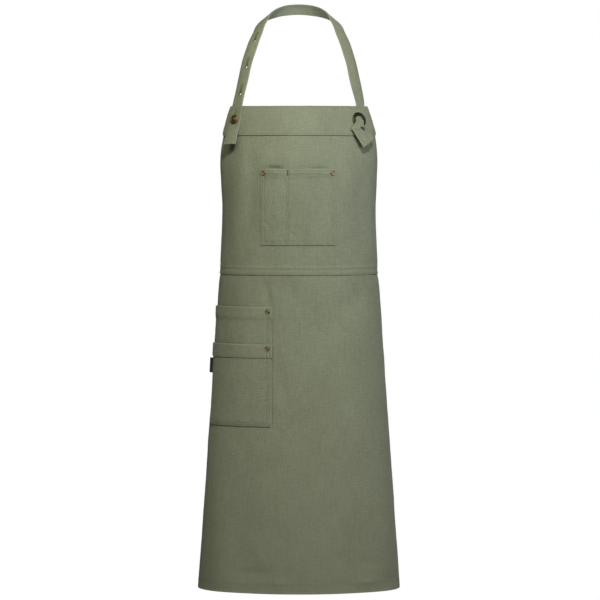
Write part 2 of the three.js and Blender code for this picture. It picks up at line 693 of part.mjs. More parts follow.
// The apron
const bib = new THREE.Group().add(
  piece("bib_panel", bibPanel(), CANVAS_CLOTH),
  piece("top_band", topBand(), CANVAS_CLOTH),
  piece("bib_pocket", bibPocket(), CANVAS_CLOTH),
  ...bibRivets.map((place) => rivet(place, 2 * CANVAS + PATCH + bibPocketSlack(place.u, place.drop))),
);
const skirt = new THREE.Group().add(
  piece("skirt_panel", skirtPanel(), CANVAS_CLOTH),
  piece("upper_side_pocket", sidePocket(UPPER_POCKET, PATCH, upperSlack, [upperRivet, lowerRivet]), CANVAS_CLOTH),
  piece("lower_side_pocket", sidePocket(LOWER_POCKET, PATCH + PLY, lowerSlack, [lowerRivet]), CANVAS_CLOTH),
  rivet(upperRivet, PATCH + CANVAS + PLY + upperSlack(upperRivet.u, upperRivet.drop)),
  rivet(lowerRivet, PATCH + CANVAS + 2 * PLY + lowerSlack(lowerRivet.u, lowerRivet.drop)),
  piece("side_label", sideLabel(), LABEL_CLOTH),
);
const harness = new THREE.Group().add(
  piece("neck_strap", neckStrap(), CANVAS_CLOTH),
  piece("strap_button", jeansButton(), COPPER, BUTTON),
  piece("eyelet", eyeletRing(), DARK_BRONZE, EYELET),
);
const apron = new THREE.Group().add(bib, skirt, harness);

export default apron;
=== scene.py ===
"""Canvas bib apron, dressed: sewn cloth, stitching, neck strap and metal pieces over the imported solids.

Tables and sizes are in millimetres, and meshes are made in metres. A place on the cloth has three
coordinates: u, along the cloth from the centre front; drop, down from the nape; and lift, outwards from
the inner face of the panels.
"""

import logging
import math
from dataclasses import dataclass, field
from enum import Enum
from typing import Any, Callable, ClassVar, NamedTuple, Sequence

import bmesh
import bpy
import numpy as np
from bpy.types import ID, Light, Material, Mesh, Node, NodeSocket, NodeTree, Object
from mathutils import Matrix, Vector

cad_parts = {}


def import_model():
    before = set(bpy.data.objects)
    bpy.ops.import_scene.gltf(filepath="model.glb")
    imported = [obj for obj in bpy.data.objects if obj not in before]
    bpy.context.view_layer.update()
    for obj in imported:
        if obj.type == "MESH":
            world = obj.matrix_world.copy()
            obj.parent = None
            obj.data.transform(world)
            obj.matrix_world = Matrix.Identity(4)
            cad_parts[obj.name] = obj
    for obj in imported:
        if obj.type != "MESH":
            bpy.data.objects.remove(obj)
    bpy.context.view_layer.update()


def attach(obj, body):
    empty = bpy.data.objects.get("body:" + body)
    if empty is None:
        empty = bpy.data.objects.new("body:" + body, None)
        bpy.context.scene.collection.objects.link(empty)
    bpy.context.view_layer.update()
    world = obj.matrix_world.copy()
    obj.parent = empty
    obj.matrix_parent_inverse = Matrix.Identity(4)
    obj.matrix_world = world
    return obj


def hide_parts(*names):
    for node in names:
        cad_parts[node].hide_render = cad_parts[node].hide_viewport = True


LOG = logging.getLogger("apron")
MM = 0.001
BODY = "root"
CLOTH_UV = "cloth"
WEAR = "wear"
TINY = 1e-12
SAME = 1e-6
WELD = 0.002
ALL_SMOOTH = 180.0
# Square of the least share of the thickness at a rounded edge
THIN_EDGE = 0.12
# Distances over which wear fades from an edge of a panel and of the strap
PANEL_RUB = 1.4
STRAP_RUB = 1.2
# Closer stations by an end, as shares of its rounding, and about a fine spot, in millimetres
EDGE_STEPS = (0.18, 0.5, 1.0, 2.2)
NEAR_STEPS = (-4.6, -3.2, -2.1, -1.2, -0.5, 0, 0.5, 1.2, 2.1, 3.2, 4.6)
CLOSEST = 0.09
FINE_THREAD = 0.36
# How deep the skirt's and the strap's stitches sit in the cloth
THREAD_SUNK = 0.12

Array = np.ndarray
Pair = tuple[float, float]
Point = tuple[float, float, float]
Colour = Point
Relief = Callable[[Array, Array], Array]


class Slot(Enum):
    """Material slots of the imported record."""

    CANVAS = "canvas"
    LABEL = "label_cloth"
    BRASS = "aged_brass"
    COPPER = "copper"
    BRONZE = "dark_bronze"


class Held(Enum):
    """Ways in which a piece of cloth is held."""

    HUNG = "hung"
    LAID = "laid"
    FOLDED = "folded"


class Side(Enum):
    """Sides of the apron in a front view."""

    LEFT = -1
    RIGHT = 1


class SectionRow(NamedTuple):
    """One level of the worn form."""

    drop: float
    half_width: float
    reach: float
    front_depth: float
    back_depth: float


class CutRow(NamedTuple):
    """Half of the panels' width at one level."""

    drop: float
    half_cut: float


class FoldRow(NamedTuple):
    """A soft ridge, or a dent where rise is negative; lean is its drift along u as it goes down."""

    u: float
    drop: float
    lean: float
    half_width: float
    half_length: float
    rise: float


class NeckRow(NamedTuple):
    """A point of the neck loop on the right side and the way that the strap's outer face looks."""

    x: float
    y: float
    z: float
    face_x: float
    face_y: float
    face_z: float


class StrapRow(NamedTuple):
    """A station of the strap on the cloth; front is the share of its turn to the front."""

    u: float
    drop: float
    lift: float
    front: float
    width: float
    thick: float


class FanRow(NamedTuple):
    """A station of the knot's fan, from the eyelet at part 0 to its lip at part 1."""

    part: float
    u: float
    drop: float
    lift: float
    half_width: float


class Corner(NamedTuple):
    """A corner of the knot's tail."""

    u: float
    drop: float
    lift: float


class LightRow(NamedTuple):
    """A soft square light: where it stands, the length of its sides, its watts and its tint."""

    name: str
    place: Point
    size: float
    power: float
    tint: Colour


class NoiseRow(NamedTuple):
    """A noise on the cloth: its scale across and down, where it starts, and its octaves."""

    across: float
    down: float
    start: float
    detail: float


class Place(NamedTuple):
    """A place on the cloth."""

    u: float
    drop: float


CANVAS = 1.2
GAP = 0.3
PLY = CANVAS + GAP
PATCH = PLY + 0.15
TOP_EDGE = 184.0
BAND_END = 239.0
WAIST_SEAM = 496.0
WAIST_LAP = 11.0
HEM_EDGE = 1084.0
SIDE_HEM = 12.0
SIDE_ROW = 10.0
ROW_END = 1.0

WORN_SECTIONS = (
    SectionRow(150, 147, 138, 74, 84),
    SectionRow(184, 147.2, 151, 81, 86),
    SectionRow(240, 145.9, 173, 93, 90),
    SectionRow(300, 145.4, 186, 101, 93),
    SectionRow(375, 142.3, 187, 103, 93),
    SectionRow(440, 144.2, 183, 100, 94),
    SectionRow(496, 147.7, 180, 99, 97),
    SectionRow(600, 154.6, 181, 101, 101),
    SectionRow(800, 169, 188, 107, 108),
    SectionRow(1084, 188.8, 199, 113, 116),
)
CUT_ROWS = (
    CutRow(150, 116),
    CutRow(184, 133),
    CutRow(240, 164),
    CutRow(300, 198),
    CutRow(370, 243),
    CutRow(440, 287),
    CutRow(496, 312),
    CutRow(620, 322),
    CutRow(1084, 352),
)
# Folds that the solids have too
LARGE_FOLDS = (
    FoldRow(-122, 335, -0.1, 20, 90, 2.6),
    FoldRow(128, 330, 0.12, 20, 70, -2.4),
    FoldRow(112, 541, -0.35, 22, 32, -3.4),
    FoldRow(-16, 527, 0.3, 18, 20, -1.8),
    FoldRow(-170, 1000, -0.05, 34, 130, 4.5),
    FoldRow(-105, 1010, -0.03, 30, 120, -3),
    FoldRow(178, 1010, 0.05, 34, 150, 4),
    FoldRow(112, 1020, 0.03, 32, 150, -3),
    FoldRow(-270, 900, -0.06, 34, 230, -7),
    FoldRow(270, 900, 0.06, 34, 230, -7),
)
# Narrower folds of the cloth
FINE_FOLDS = (
    FoldRow(-60, 528, 0.24, 7, 24, -2.2),
    FoldRow(-46, 532, 0.2, 9, 22, 0.9),
    FoldRow(-30, 700, 0.45, 9, 30, -1.5),
    FoldRow(-22, 735, 0.5, 8, 26, -1.1),
    FoldRow(-36, 668, 0.5, 7, 22, -1.0),
    FoldRow(-92, 350, -0.06, 12, 80, -1.8),
    FoldRow(-108, 290, -0.12, 9, 44, 1.1),
    FoldRow(95, 300, 0.1, 10, 50, 0.9),
    FoldRow(-197, 490.5, 0, 60, 11, -2.4),
    FoldRow(197, 490.5, 0, 60, 11, -2.4),
    FoldRow(-84, 1046, 0, 34, 8, -2.4),
    FoldRow(-34, 1064, 0, 16, 7, 2.0),
    FoldRow(80, 1066, 0, 14, 8, -2.2),
    FoldRow(130, 1065, 0, 24, 7, 2.3),
    FoldRow(190, 1063, 0, 16, 9, -2.6),
    FoldRow(140, 1028, 0, 26, 9, -2.0),
)


def fold_rise(folds: Sequence[FoldRow], u: Array, drop: Array) -> Array:
    """How far folds raise the cloth.

    Args:
        folds: rows of the folds.
        u, drop: places on the cloth.

    Returns:
        The rise at each place.
    """
    rise = np.zeros(np.broadcast(u, drop).shape)
    for fold in folds:
        along = drop - fold.drop
        across = u - fold.u - fold.lean * along
        fall = (across / fold.half_width) ** 2 + (along / fold.half_length) ** 2
        rise = rise + fold.rise * np.exp(-fall)
    return rise


class SmoothTable:
    """Smooth columns through the rows of a table, read against its first column."""

    def __init__(self, rows: Sequence[Sequence[float]]) -> None:
        """Keep the rows and the slope of each column at each row.

        Args:
            rows: rows of numbers, with the first column rising.
        """
        table = np.asarray(rows, dtype=float)
        count = len(table)
        before = np.maximum(np.arange(count) - 1, 0)
        after = np.minimum(np.arange(count) + 1, count - 1)
        self.stations = table[:, 0]
        self.values = table[:, 1:]
        spans = (self.stations[after] - self.stations[before])[:, None]
        self.slopes = (self.values[after] - self.values[before]) / spans

    def at(self, where: Array) -> Array:
        """Read all columns.

        Args:
            where: values of the first column.

        Returns:
            The columns at each value, in a last axis.
        """
        where = np.asarray(where, dtype=float)
        low = np.clip(np.searchsorted(self.stations, where) - 1, 0, len(self.stations) - 2)
        span = (self.stations[low + 1] - self.stations[low])[..., None]
        part = (where - self.stations[low])[..., None] / span
        rise = self.values[low + 1] - self.values[low]
        start_bend = part * (1 - part) ** 2 * span * self.slopes[low]
        end_bend = part**2 * (part - 1) * span * self.slopes[low + 1]
        return self.values[low] + rise * part**2 * (3 - 2 * part) + start_bend + end_bend


class Unevenness:
    """Seeded smooth noise between about -1 and 1 over a plane."""

    SIZE: ClassVar[int] = 256

    def __init__(self, seed: int) -> None:
        """Draw the directions of the lattice.

        Args:
            seed: number that fixes the noise.
        """
        chance = np.random.default_rng(seed)
        turn = chance.uniform(0, 2 * math.pi, self.SIZE)
        self.ways = np.stack([np.cos(turn), np.sin(turn)], axis=-1)
        self.order = chance.permutation(self.SIZE)

    def _corner(self, column: Array, row: Array, x: Array, y: Array) -> Array:
        """Slope of one lattice corner at an offset from it."""
        pick = self.order[(self.order[column % self.SIZE] + row) % self.SIZE]
        return self.ways[pick, 0] * x + self.ways[pick, 1] * y

    def at(self, x: Array, y: Array) -> Array:
        """Read the noise.

        Args:
            x, y: coordinates, in lattice steps.

        Returns:
            The noise at each place.
        """
        column = np.floor(x).astype(int)
        row = np.floor(y).astype(int)
        x = x - column
        y = y - row
        ease_x = x**3 * (x * (6 * x - 15) + 10)
        ease_y = y**3 * (y * (6 * y - 15) + 10)
        low = self._corner(column, row, x, y)
        low = low + ease_x * (self._corner(column + 1, row, x - 1, y) - low)
        high = self._corner(column, row + 1, x, y - 1)
        high = high + ease_x * (self._corner(column + 1, row + 1, x - 1, y - 1) - high)
        return 1.6 * (low + ease_y * (high - low))


def smooth_step(value: Array, start: float, end: float) -> Array:
    """Ease from 0 at the start to 1 at the end."""
    part = np.clip((value - start) / (end - start), 0, 1)
    return part**2 * (3 - 2 * part)


def eased(distance: Array, reach: float) -> Array:
    """Share of the full thickness by a rounded edge; from the reach on it is full."""
    part = np.clip(distance / reach, 0, 1)
    return np.sqrt(np.maximum(1 - (1 - part) ** 2, THIN_EDGE))


def unit(vectors: Array) -> Array:
    """Vectors scaled to a length of 1."""
    return vectors / np.maximum(np.linalg.norm(vectors, axis=-1, keepdims=True), TINY)


def lengths_along(points: Array) -> Array:
    """Length of a line up to each of its points."""
    steps = np.linalg.norm(np.diff(points, axis=0), axis=1)
    return np.concatenate([[0], np.cumsum(steps)])


def from_ends(line: Array) -> Array:
    """Distance of positions along a line from its nearer end."""
    return np.minimum(line, line[-1] - line)


def both_faces(outer: Array, inner: Array) -> Array:
    """Rings that run along an outer face and back along an inner one."""
    return np.concatenate([outer, inner[:, ::-1]], axis=1)


@dataclass
class WornForm:
    """The surface that the panels take when the apron is worn, with its folds and uneven lie."""

    step: float = 2.0
    far: float = 384.0
    top: float = 150.0
    bottom: float = 1100.0
    folds: tuple[FoldRow, ...] = LARGE_FOLDS + FINE_FOLDS
    sway: float = 0.8
    sway_pitch: Pair = (62.0, 95.0)
    sway_start: float = 0.3
    ripple: float = 0.34
    ripple_pitch: Pair = (24.0, 37.0)
    cockle: float = 0.12
    cockle_pitch: Pair = (9.5, 12.0)
    seeds: tuple[int, int, int] = (11, 12, 13)
    walk_turn: float = 3.0
    walk_steps: int = 600

    def __post_init__(self) -> None:
        """Walk round each level once and keep points and normals on a fine grid."""
        self.cut = SmoothTable(CUT_ROWS)
        self.drops = np.arange(self.top, self.bottom + self.step, self.step)
        self.along = np.arange(-self.far, self.far + self.step, self.step)
        angles = np.linspace(0, self.walk_turn, self.walk_steps)
        sections = SmoothTable(WORN_SECTIONS).at(self.drops)
        levels = [self._level(section, angles) for section in sections]
        heights = np.broadcast_to(-self.drops[:, None, None], (len(self.drops), len(self.along), 1))
        self.points = np.concatenate([np.stack(levels), heights], axis=-1)
        across = np.gradient(self.points, axis=1)
        down = np.gradient(self.points, axis=0)
        self.normals = unit(np.cross(down, across))
        self.slow, self.fast, self.fine = (Unevenness(seed) for seed in self.seeds)

    def _level(self, section: Array, angles: Array) -> Array:
        """Plan of one level at the grid's distances along the cloth.

        Args:
            section: half width, reach, front depth and back depth.
            angles: angles of the walk round the level.

        Returns:
            x and y for each distance.
        """
        half_width, reach, front, back = section
        depth = np.where(angles < math.pi / 2, front, back)
        x = half_width * np.sin(angles)
        y = front - reach - depth * np.cos(angles)
        lengths = np.concatenate([[0], np.cumsum(np.hypot(np.diff(x), np.diff(y)))])
        turn = np.interp(np.abs(self.along), lengths, angles)
        depth = np.where(turn < math.pi / 2, front, back)
        plan_x = half_width * np.sin(turn) * np.sign(self.along)
        return np.stack([plan_x, front - reach - depth * np.cos(turn)], axis=-1)

    def half_cut(self, drop: Array | float) -> Array:
        """Half of the panels' width at a level."""
        return self.cut.at(drop)[..., 0]

    def _read(self, grid: Array, u: Array, drop: Array) -> Array:
        """Read a grid between its points.

        Args:
            grid: points or normals of the grid.
            u, drop: places on the cloth.

        Returns:
            The values at each place.
        """
        column = np.clip((u + self.far) / self.step, 0, len(self.along) - 1.001)
        row = np.clip((drop - self.top) / self.step, 0, len(self.drops) - 1.001)
        i = row.astype(int)
        j = column.astype(int)
        down = (row - i)[..., None]
        over = (column - j)[..., None]
        upper = grid[i, j] * (1 - over) + grid[i, j + 1] * over
        lower = grid[i + 1, j] * (1 - over) + grid[i + 1, j + 1] * over
        return upper * (1 - down) + lower * down

    def rise(self, u: Array, drop: Array) -> Array:
        """How far folds and the uneven lie raise the cloth.

        Args:
            u, drop: places on the cloth.

        Returns:
            The rise at each place.
        """
        wide, tall = self.sway_pitch
        rise = self.sway * self.slow.at(u / wide + self.sway_start, drop / tall)
        wide, tall = self.ripple_pitch
        rise = rise + self.ripple * self.fast.at(u / wide, drop / tall)
        wide, tall = self.cockle_pitch
        rise = rise + self.cockle * self.fine.at(u / wide, drop / tall)
        return rise + fold_rise(self.folds, u, drop)

    def normal(self, u: Array, drop: Array) -> Array:
        """Outward direction of the cloth."""
        return unit(self._read(self.normals, np.asarray(u, float), np.asarray(drop, float)))

    def place(self, u: Array, drop: Array, lift: Array) -> Array:
        """Put places on the cloth into space.

        Args:
            u, drop: places on the cloth.
            lift: distances outwards.

        Returns:
            Points in millimetres.
        """
        u, drop, lift = np.broadcast_arrays(*(np.asarray(part, float) for part in (u, drop, lift)))
        out = (lift + self.rise(u, drop))[..., None]
        return self._read(self.points, u, drop) + self.normal(u, drop) * out


class Tie:
    """A socket of a node tree that takes part in Python expressions."""

    def __init__(self, bench: "Bench", socket: NodeSocket) -> None:
        """Hold a socket and the bench whose tree it is in."""
        self.bench = bench
        self.socket = socket

    def __add__(self, other: "Tie | float") -> "Tie":
        """Sum with a value or a number on either side."""
        return self.bench.maths("ADD", self, other)

    __radd__ = __add__

    def __sub__(self, other: "Tie | float") -> "Tie":
        """Subtract on the right."""
        return self.bench.maths("SUBTRACT", self, other)

    def __rsub__(self, other: float) -> "Tie":
        """Subtract from a number."""
        return self.bench.maths("SUBTRACT", other, self)

    def __mul__(self, other: "Tie | float") -> "Tie":
        """Product with a value or a number on either side."""
        return self.bench.maths("MULTIPLY", self, other)

    __rmul__ = __mul__

    def __abs__(self) -> "Tie":
        """Size without the sign."""
        return self.bench.maths("ABSOLUTE", self)

    def sine(self) -> "Tie":
        """Sine of an angle."""
        return self.bench.maths("SINE", self)


class Bench:
    """One node tree and the single way in which nodes are added to it."""

    NOISE_ROUGHNESS: ClassVar[float] = 0.55

    def __init__(self, tree: NodeTree) -> None:
        """Start with an empty tree."""
        self.tree = tree
        tree.nodes.clear()

    def node(
        self,
        kind: str,
        settings: dict[str, Any] | None = None,
        sockets: dict[str | int, Any] | None = None,
    ) -> Node:
        """Add one node.

        Args:
            kind: type name of the node.
            settings: its properties, which are set first.
            sockets: values, sockets or ties for its inputs, by name or number.

        Returns:
            The node.
        """
        node = self.tree.nodes.new(kind)
        for name, value in (settings or {}).items():
            setattr(node, name, value)
        for key, value in (sockets or {}).items():
            source = value.socket if isinstance(value, Tie) else value
            if isinstance(source, NodeSocket):
                self.tree.links.new(source, node.inputs[key])
            else:
                node.inputs[key].default_value = source
        return node

    def maths(self, operation: str, first: Tie | float, second: Tie | float = 0.0) -> Tie:
        """Result of a Math node on one or two values."""
        node = self.node("ShaderNodeMath", {"operation": operation}, {0: first, 1: second})
        return Tie(self, node.outputs[0])

    def mixed(self, share: Tie | float, first: Any, second: Any) -> NodeSocket:
        """Mix of two colours, or of their sockets, by the share of the second."""
        colours = {6: self._colour(first), 7: self._colour(second), 0: share}
        return self.node("ShaderNodeMix", {"data_type": "RGBA", "clamp_factor": True}, colours).outputs[2]

    @staticmethod
    def _colour(value: Any) -> Any:
        """A colour with its fourth number, or a socket as it is."""
        return (*value, 1) if isinstance(value, tuple) else value

    def noise(self, x: Tie, y: Tie, z: Tie | float = 0.0, detail: float = 2.0) -> Tie:
        """Add a noise over three values.

        Args:
            x, y, z: the values.
            detail: octaves of the noise.

        Returns:
            The noise, about 0.5 in the middle.
        """
        joined = self.node("ShaderNodeCombineXYZ", sockets={"X": x, "Y": y, "Z": z})
        inputs = {
            "Vector": joined.outputs[0],
            "Scale": 1.0,
            "Detail": detail,
            "Roughness": self.NOISE_ROUGHNESS,
        }
        return Tie(self, self.node("ShaderNodeTexNoise", sockets=inputs).outputs[0])

    def split(self, vector: NodeSocket, scale: float) -> tuple[Tie, ...]:
        """The three values of a vector, scaled."""
        parts = self.node("ShaderNodeSeparateXYZ", sockets={0: vector})
        return tuple(Tie(self, output) * scale for output in parts.outputs)

    def cloth_place(self) -> tuple[Tie, ...]:
        """Places across and down the cloth, in millimetres."""
        place = self.node("ShaderNodeUVMap", {"uv_map": CLOTH_UV})
        return self.split(place.outputs["UV"], 1 / MM)[:2]

    def wear(self) -> Tie:
        """Wear of the surface, from 0 to 1."""
        return Tie(self, self.node("ShaderNodeAttribute", {"attribute_name": WEAR}).outputs[2])

    def bump(self, strength: float, distance: float, height: Tie) -> NodeSocket:
        """Normals of a surface with a fine relief; the distance is in metres."""
        inputs = {"Strength": strength, "Distance": distance, "Height": height}
        return self.node("ShaderNodeBump", sockets=inputs).outputs["Normal"]


class Finish:
    """A procedural finish: one material with its own node tree."""

    name: str

    def material(self) -> Material:
        """Make the material.

        Returns:
            The new material.
        """
        material = bpy.data.materials.new(self.name)
        material.use_nodes = True
        bench = Bench(material.node_tree)
        shader = bench.node("ShaderNodeBsdfPrincipled", sockets=self.inputs(bench))
        bench.node("ShaderNodeOutputMaterial", sockets={"Surface": shader.outputs[0]})
        return material

    def inputs(self, bench: Bench) -> dict[str, Any]:
        """Build the nodes and give what goes into the shader."""
        raise NotImplementedError


@dataclass(frozen=True)
class CanvasFinish(Finish):
    """Plain-woven cotton canvas with slubs, washed tone and paler edges, and painted shade: in the weave's
    gaps and towards the hem, most at the left.
    """

    name: str
    pale: Colour
    deep: Colour
    worn: Colour
    pitch: float = 0.9
    relief: float = 0.5
    edge_wear: float = 0.4
    sheen: float = 0.12
    weft_slub: NoiseRow = NoiseRow(0.05, 0.8, 3.1, 2.0)
    warp_slub: NoiseRow = NoiseRow(0.8, 0.045, 7.7, 2.0)
    wash: NoiseRow = NoiseRow(0.017, 0.014, 1.3, 4.0)
    fleck: NoiseRow = NoiseRow(0.35, 0.35, 5.2, 3.0)
    # Painted shade: the colour deepens from a drop towards the hem over a length, and more at the left side
    # from a distance left of the middle over a width.
    painted_shade_from: float = 800.0
    painted_shade_over: float = 800.0
    painted_side_shade_from: float = 115.0
    painted_side_shade_over: float = 45.0

    def inputs(self, bench: Bench) -> dict[str, Any]:
        """Build weave, slubs, wash, wear and painted shade.

        Args:
            bench: bench of the material's tree.

        Returns:
            Inputs of the shader.
        """
        across, down = bench.cloth_place()
        warp = (across * (math.pi / self.pitch)).sine()
        weft = (down * (math.pi / self.pitch)).sine()
        over = warp * weft * 0.5 + 0.5
        yarn = abs(warp) * (1 - over) + abs(weft) * over
        weft_slub, warp_slub, wash, fleck = (
            bench.noise(across * row.across, down * row.down, row.start, row.detail)
            for row in (self.weft_slub, self.warp_slub, self.wash, self.fleck)
        )
        slub = weft_slub * 0.5 + warp_slub * 0.5
        # Tone: painted shade in the gaps between yarns from the yarn height, and the cloth's own uneven
        # tone from slubs, wash and flecks.
        tone = yarn * 0.4 + slub * 1.5 + wash * 0.5 + fleck * 0.9 - 1.2
        # Painted shade: darker towards the hem, and more so towards the left side.
        low = bench.maths("MAXIMUM", (down - self.painted_shade_from) * (1 / self.painted_shade_over), 0.0)
        aside = bench.maths("MAXIMUM", (across + self.painted_side_shade_from) * (-1 / self.painted_side_shade_over), 0.0)
        cloth = bench.mixed(low * (aside + 1), bench.mixed(tone, self.deep, self.pale), self.deep)
        rubbed = bench.wear() * (fleck * 0.9 + 0.3) * self.edge_wear
        return {
            "Base Color": bench.mixed(rubbed, cloth, self.worn),
            "Roughness": 0.98 - slub * 0.16,
            "Specular IOR Level": 0.25,
            "Sheen Weight": self.sheen,
            "Sheen Roughness": 0.6,
            "Normal": bench.bump(self.relief, MM, yarn * 0.22 + slub * 0.5),
        }


@dataclass(frozen=True)
class ThreadFinish(Finish):
    """Twisted sewing thread, with painted shade between its plies."""

    name: str
    pale: Colour
    deep: Colour
    twist: float = 0.85

    def inputs(self, bench: Bench) -> dict[str, Any]:
        """Build the twist of the plies, with painted shade in the grooves between them.

        Args:
            bench: bench of the material's tree.

        Returns:
            Inputs of the shader.
        """
        along, around = bench.cloth_place()
        ply = ((along * (1 / self.twist) + around) * (2 * math.pi)).sine() * 0.5 + 0.5
        tone = bench.noise(along * 0.11, around * 0.3, 2.0)
        return {
            # Painted shade: the colour is darker in the grooves between the plies; the noise is the
            # thread's own uneven tone.
            "Base Color": bench.mixed(ply * 0.6 + tone * 0.6 - 0.1, self.deep, self.pale),
            "Roughness": 0.8 - ply * 0.12,
            "Specular IOR Level": 0.3,
            "Normal": bench.bump(0.6, 0.15 * MM, ply),
        }


@dataclass(frozen=True)
class MetalFinish(Finish):
    """Aged metal: bright where it is rubbed, dull and dark where it has tarnished."""

    name: str
    bright: Colour
    dull: Colour
    smooth: float
    rough: float
    tarnish: float
    cloud: float = 0.35
    speck: float = 1.89

    def inputs(self, bench: Bench) -> dict[str, Any]:
        """Build tarnish, fine scratches and rubbed edges.

        Args:
            bench: bench of the material's tree.

        Returns:
            Inputs of the shader.
        """
        place = bench.node("ShaderNodeTexCoord")
        x, y, z = bench.split(place.outputs["Object"], 1 / MM)
        cloud = bench.noise(x * self.cloud, y * self.cloud, z * self.cloud, 4.0)
        speck = bench.noise(x * self.speck, y * self.speck, z * self.speck, 3.0)
        dull = cloud * 0.9 + speck * 0.5 - 0.72 + self.tarnish - bench.wear() * 0.55
        return {
            "Base Color": bench.mixed(dull, self.bright, self.dull),
            "Metallic": 1.0,
            "Roughness": speck * (self.rough - self.smooth) + self.smooth,
            "Normal": bench.bump(0.35, 0.2 * MM, speck + cloud * 0.5),
        }


@dataclass(frozen=True)
class FloorFinish(Finish):
    """Plain pale painted floor."""

    name: str = "pale_floor"
    tone: float = 0.82
    mottle: float = 0.02
    scale: float = 2.5

    def inputs(self, bench: Bench) -> dict[str, Any]:
        """Build a faint mottling.

        Args:
            bench: bench of the material's tree.

        Returns:
            Inputs of the shader.
        """
        place = bench.node("ShaderNodeTexCoord")
        x, y, _ = bench.split(place.outputs["Object"], 1.0)
        cloud = bench.noise(x * self.scale, y * self.scale, 0.0, 3.0)
        low = (self.tone - self.mottle,) * 3
        high = (self.tone + self.mottle,) * 3
        return {"Base Color": bench.mixed(cloud, low, high), "Roughness": 0.75}


@dataclass
class Shape:
    """A mesh in the making: points in millimetres, faces, cloth coordinates and wear for each point."""

    points: Array
    faces: list[tuple[int, ...]]
    cloth: Array
    wear: Array

    @staticmethod
    def joined(shapes: Sequence["Shape"]) -> "Shape":
        """Several shapes as one.

        Args:
            shapes: the shapes.

        Returns:
            One shape with all their points and faces.
        """
        faces: list[tuple[int, ...]] = []
        start = 0
        for shape in shapes:
            faces.extend(tuple(index + start for index in face) for face in shape.faces)
            start += len(shape.points)
        parts = (
            np.concatenate([getattr(shape, name) for shape in shapes])
            for name in ("points", "cloth", "wear")
        )
        points, cloth, wear = parts
        return Shape(points, faces, cloth, wear)

    def mesh(self, name: str, sharp: float = ALL_SMOOTH) -> Mesh:
        """Make the mesh in metres.

        Args:
            name: name of the mesh.
            sharp: angle in degrees from which an edge is shaded sharp.

        Returns:
            The new mesh, shaded smooth, with points in one place joined and faces looking outwards.
        """
        mesh = bpy.data.meshes.new(name)
        mesh.from_pydata((self.points * MM).tolist(), [], self.faces)
        layer = mesh.uv_layers.new(name=CLOTH_UV)
        corners = np.empty(len(mesh.loops), dtype=np.int32)
        mesh.loops.foreach_get("vertex_index", corners)
        layer.data.foreach_set("uv", (self.cloth[corners] * MM).astype(np.float32).ravel())
        wear = mesh.attributes.new(WEAR, "FLOAT", "POINT")
        wear.data.foreach_set("value", self.wear.astype(np.float32))
        work = bmesh.new()
        work.from_mesh(mesh)
        bmesh.ops.remove_doubles(work, verts=work.verts, dist=WELD * MM)
        if work.calc_volume(signed=True) < 0:
            bmesh.ops.reverse_faces(work, faces=work.faces)
        work.to_mesh(mesh)
        work.free()
        mesh.shade_smooth()
        if sharp < ALL_SMOOTH:
            mesh.set_sharp_from_angle(angle=math.radians(sharp))
        return mesh


def add_object(name: str, data: ID) -> Object:
    """Add an object with its data to the scene.

    Args:
        name: name of the object.
        data: its mesh, light or camera.

    Returns:
        The new object.
    """
    added = bpy.data.objects.new(name, data)
    bpy.context.scene.collection.objects.link(added)
    return added


@dataclass
class Workshop:
    """What every piece needs: the worn form and the finishes."""

    form: WornForm
    canvas: Material
    thread: Material
    buttonhole_thread: Material
    bar_thread: Material
    label: Material
    brass: Material
    copper: Material
    bronze: Material

    def make(self, name: str, mesh: Mesh, material: Material, slot: Slot) -> Object:
        """Make a piece that rides on the apron.

        Args:
            name: name of the piece.
            mesh: its mesh.
            material: its finish.
            slot: the record's slot for it; not used.

        Returns:
            The new piece.
        """
        piece = add_object(name, mesh)
        mesh.materials.append(material)
        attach(piece, BODY)
        LOG.info("%s: %d faces", name, len(mesh.polygons))
        return piece

    def canvas_piece(self, name: str, shape: Shape) -> Object:
        """Make a piece of the apron's canvas."""
        return self.make(name, shape.mesh(name), self.canvas, Slot.CANVAS)


def stations(
    corners: Array | Sequence[float], step: float, fine: Sequence[float] = (), edge: float = 0.6
) -> Array:
    """Places along a path: even steps, its corners, and closer ones by its ends and at fine spots.

    Args:
        corners: points of the path, or positions on a line.
        step: largest spacing.
        fine: positions along the path that need close spacing.
        edge: reach of the rounded ends.

    Returns:
        Sorted positions along the path, from 0 to its length.
    """
    corners = np.asarray(corners, float)
    lengths = lengths_along(corners.reshape(len(corners), -1))
    spots = [lengths]
    for start, end in zip(lengths[:-1], lengths[1:]):
        spots.append(np.linspace(start, end, max(1, math.ceil((end - start) / step)) + 1))
    ends = edge * np.array(EDGE_STEPS)
    spots += [ends, lengths[-1] - ends]
    spots += [np.array(NEAR_STEPS) + spot for spot in fine]
    places = np.sort(np.concatenate(spots))
    places = places[(places >= 0) & (places <= lengths[-1])]
    keep = np.concatenate([[True], np.diff(places) > CLOSEST])
    kept = places[keep]
    kept[-1] = lengths[-1]
    return kept


def read_along(lengths: Array, values: Array, places: Array) -> Array:
    """Rows of values at places along a line whose own rows lie at the lengths."""
    columns = [np.interp(places, lengths, column) for column in np.transpose(values)]
    return np.stack(columns, axis=-1)


def along_path(corners: Array, places: Array) -> Array:
    """Points of a path at places along it."""
    return read_along(lengths_along(corners), corners, places)


def half_turn(lift: float, drop: float, radius: float, start: float, turn: float, count: int = 7) -> Array:
    """Corners of a fold about a middle; its degrees run from outwards towards the hem."""
    angles = np.radians(np.linspace(start, start + turn, count))
    return np.stack([lift + radius * np.cos(angles), drop + radius * np.sin(angles)], axis=-1)


def ring_quads(sides: int, first: int, second: int) -> Array:
    """Faces between two rings of points.

    Args:
        sides: points in a ring.
        first, second: numbers of the two rings.

    Returns:
        Four corners for each face.
    """
    here = np.arange(sides)
    then = (here + 1) % sides
    low = first * sides
    high = second * sides
    return np.stack([low + here, low + then, high + then, high + here], axis=-1)


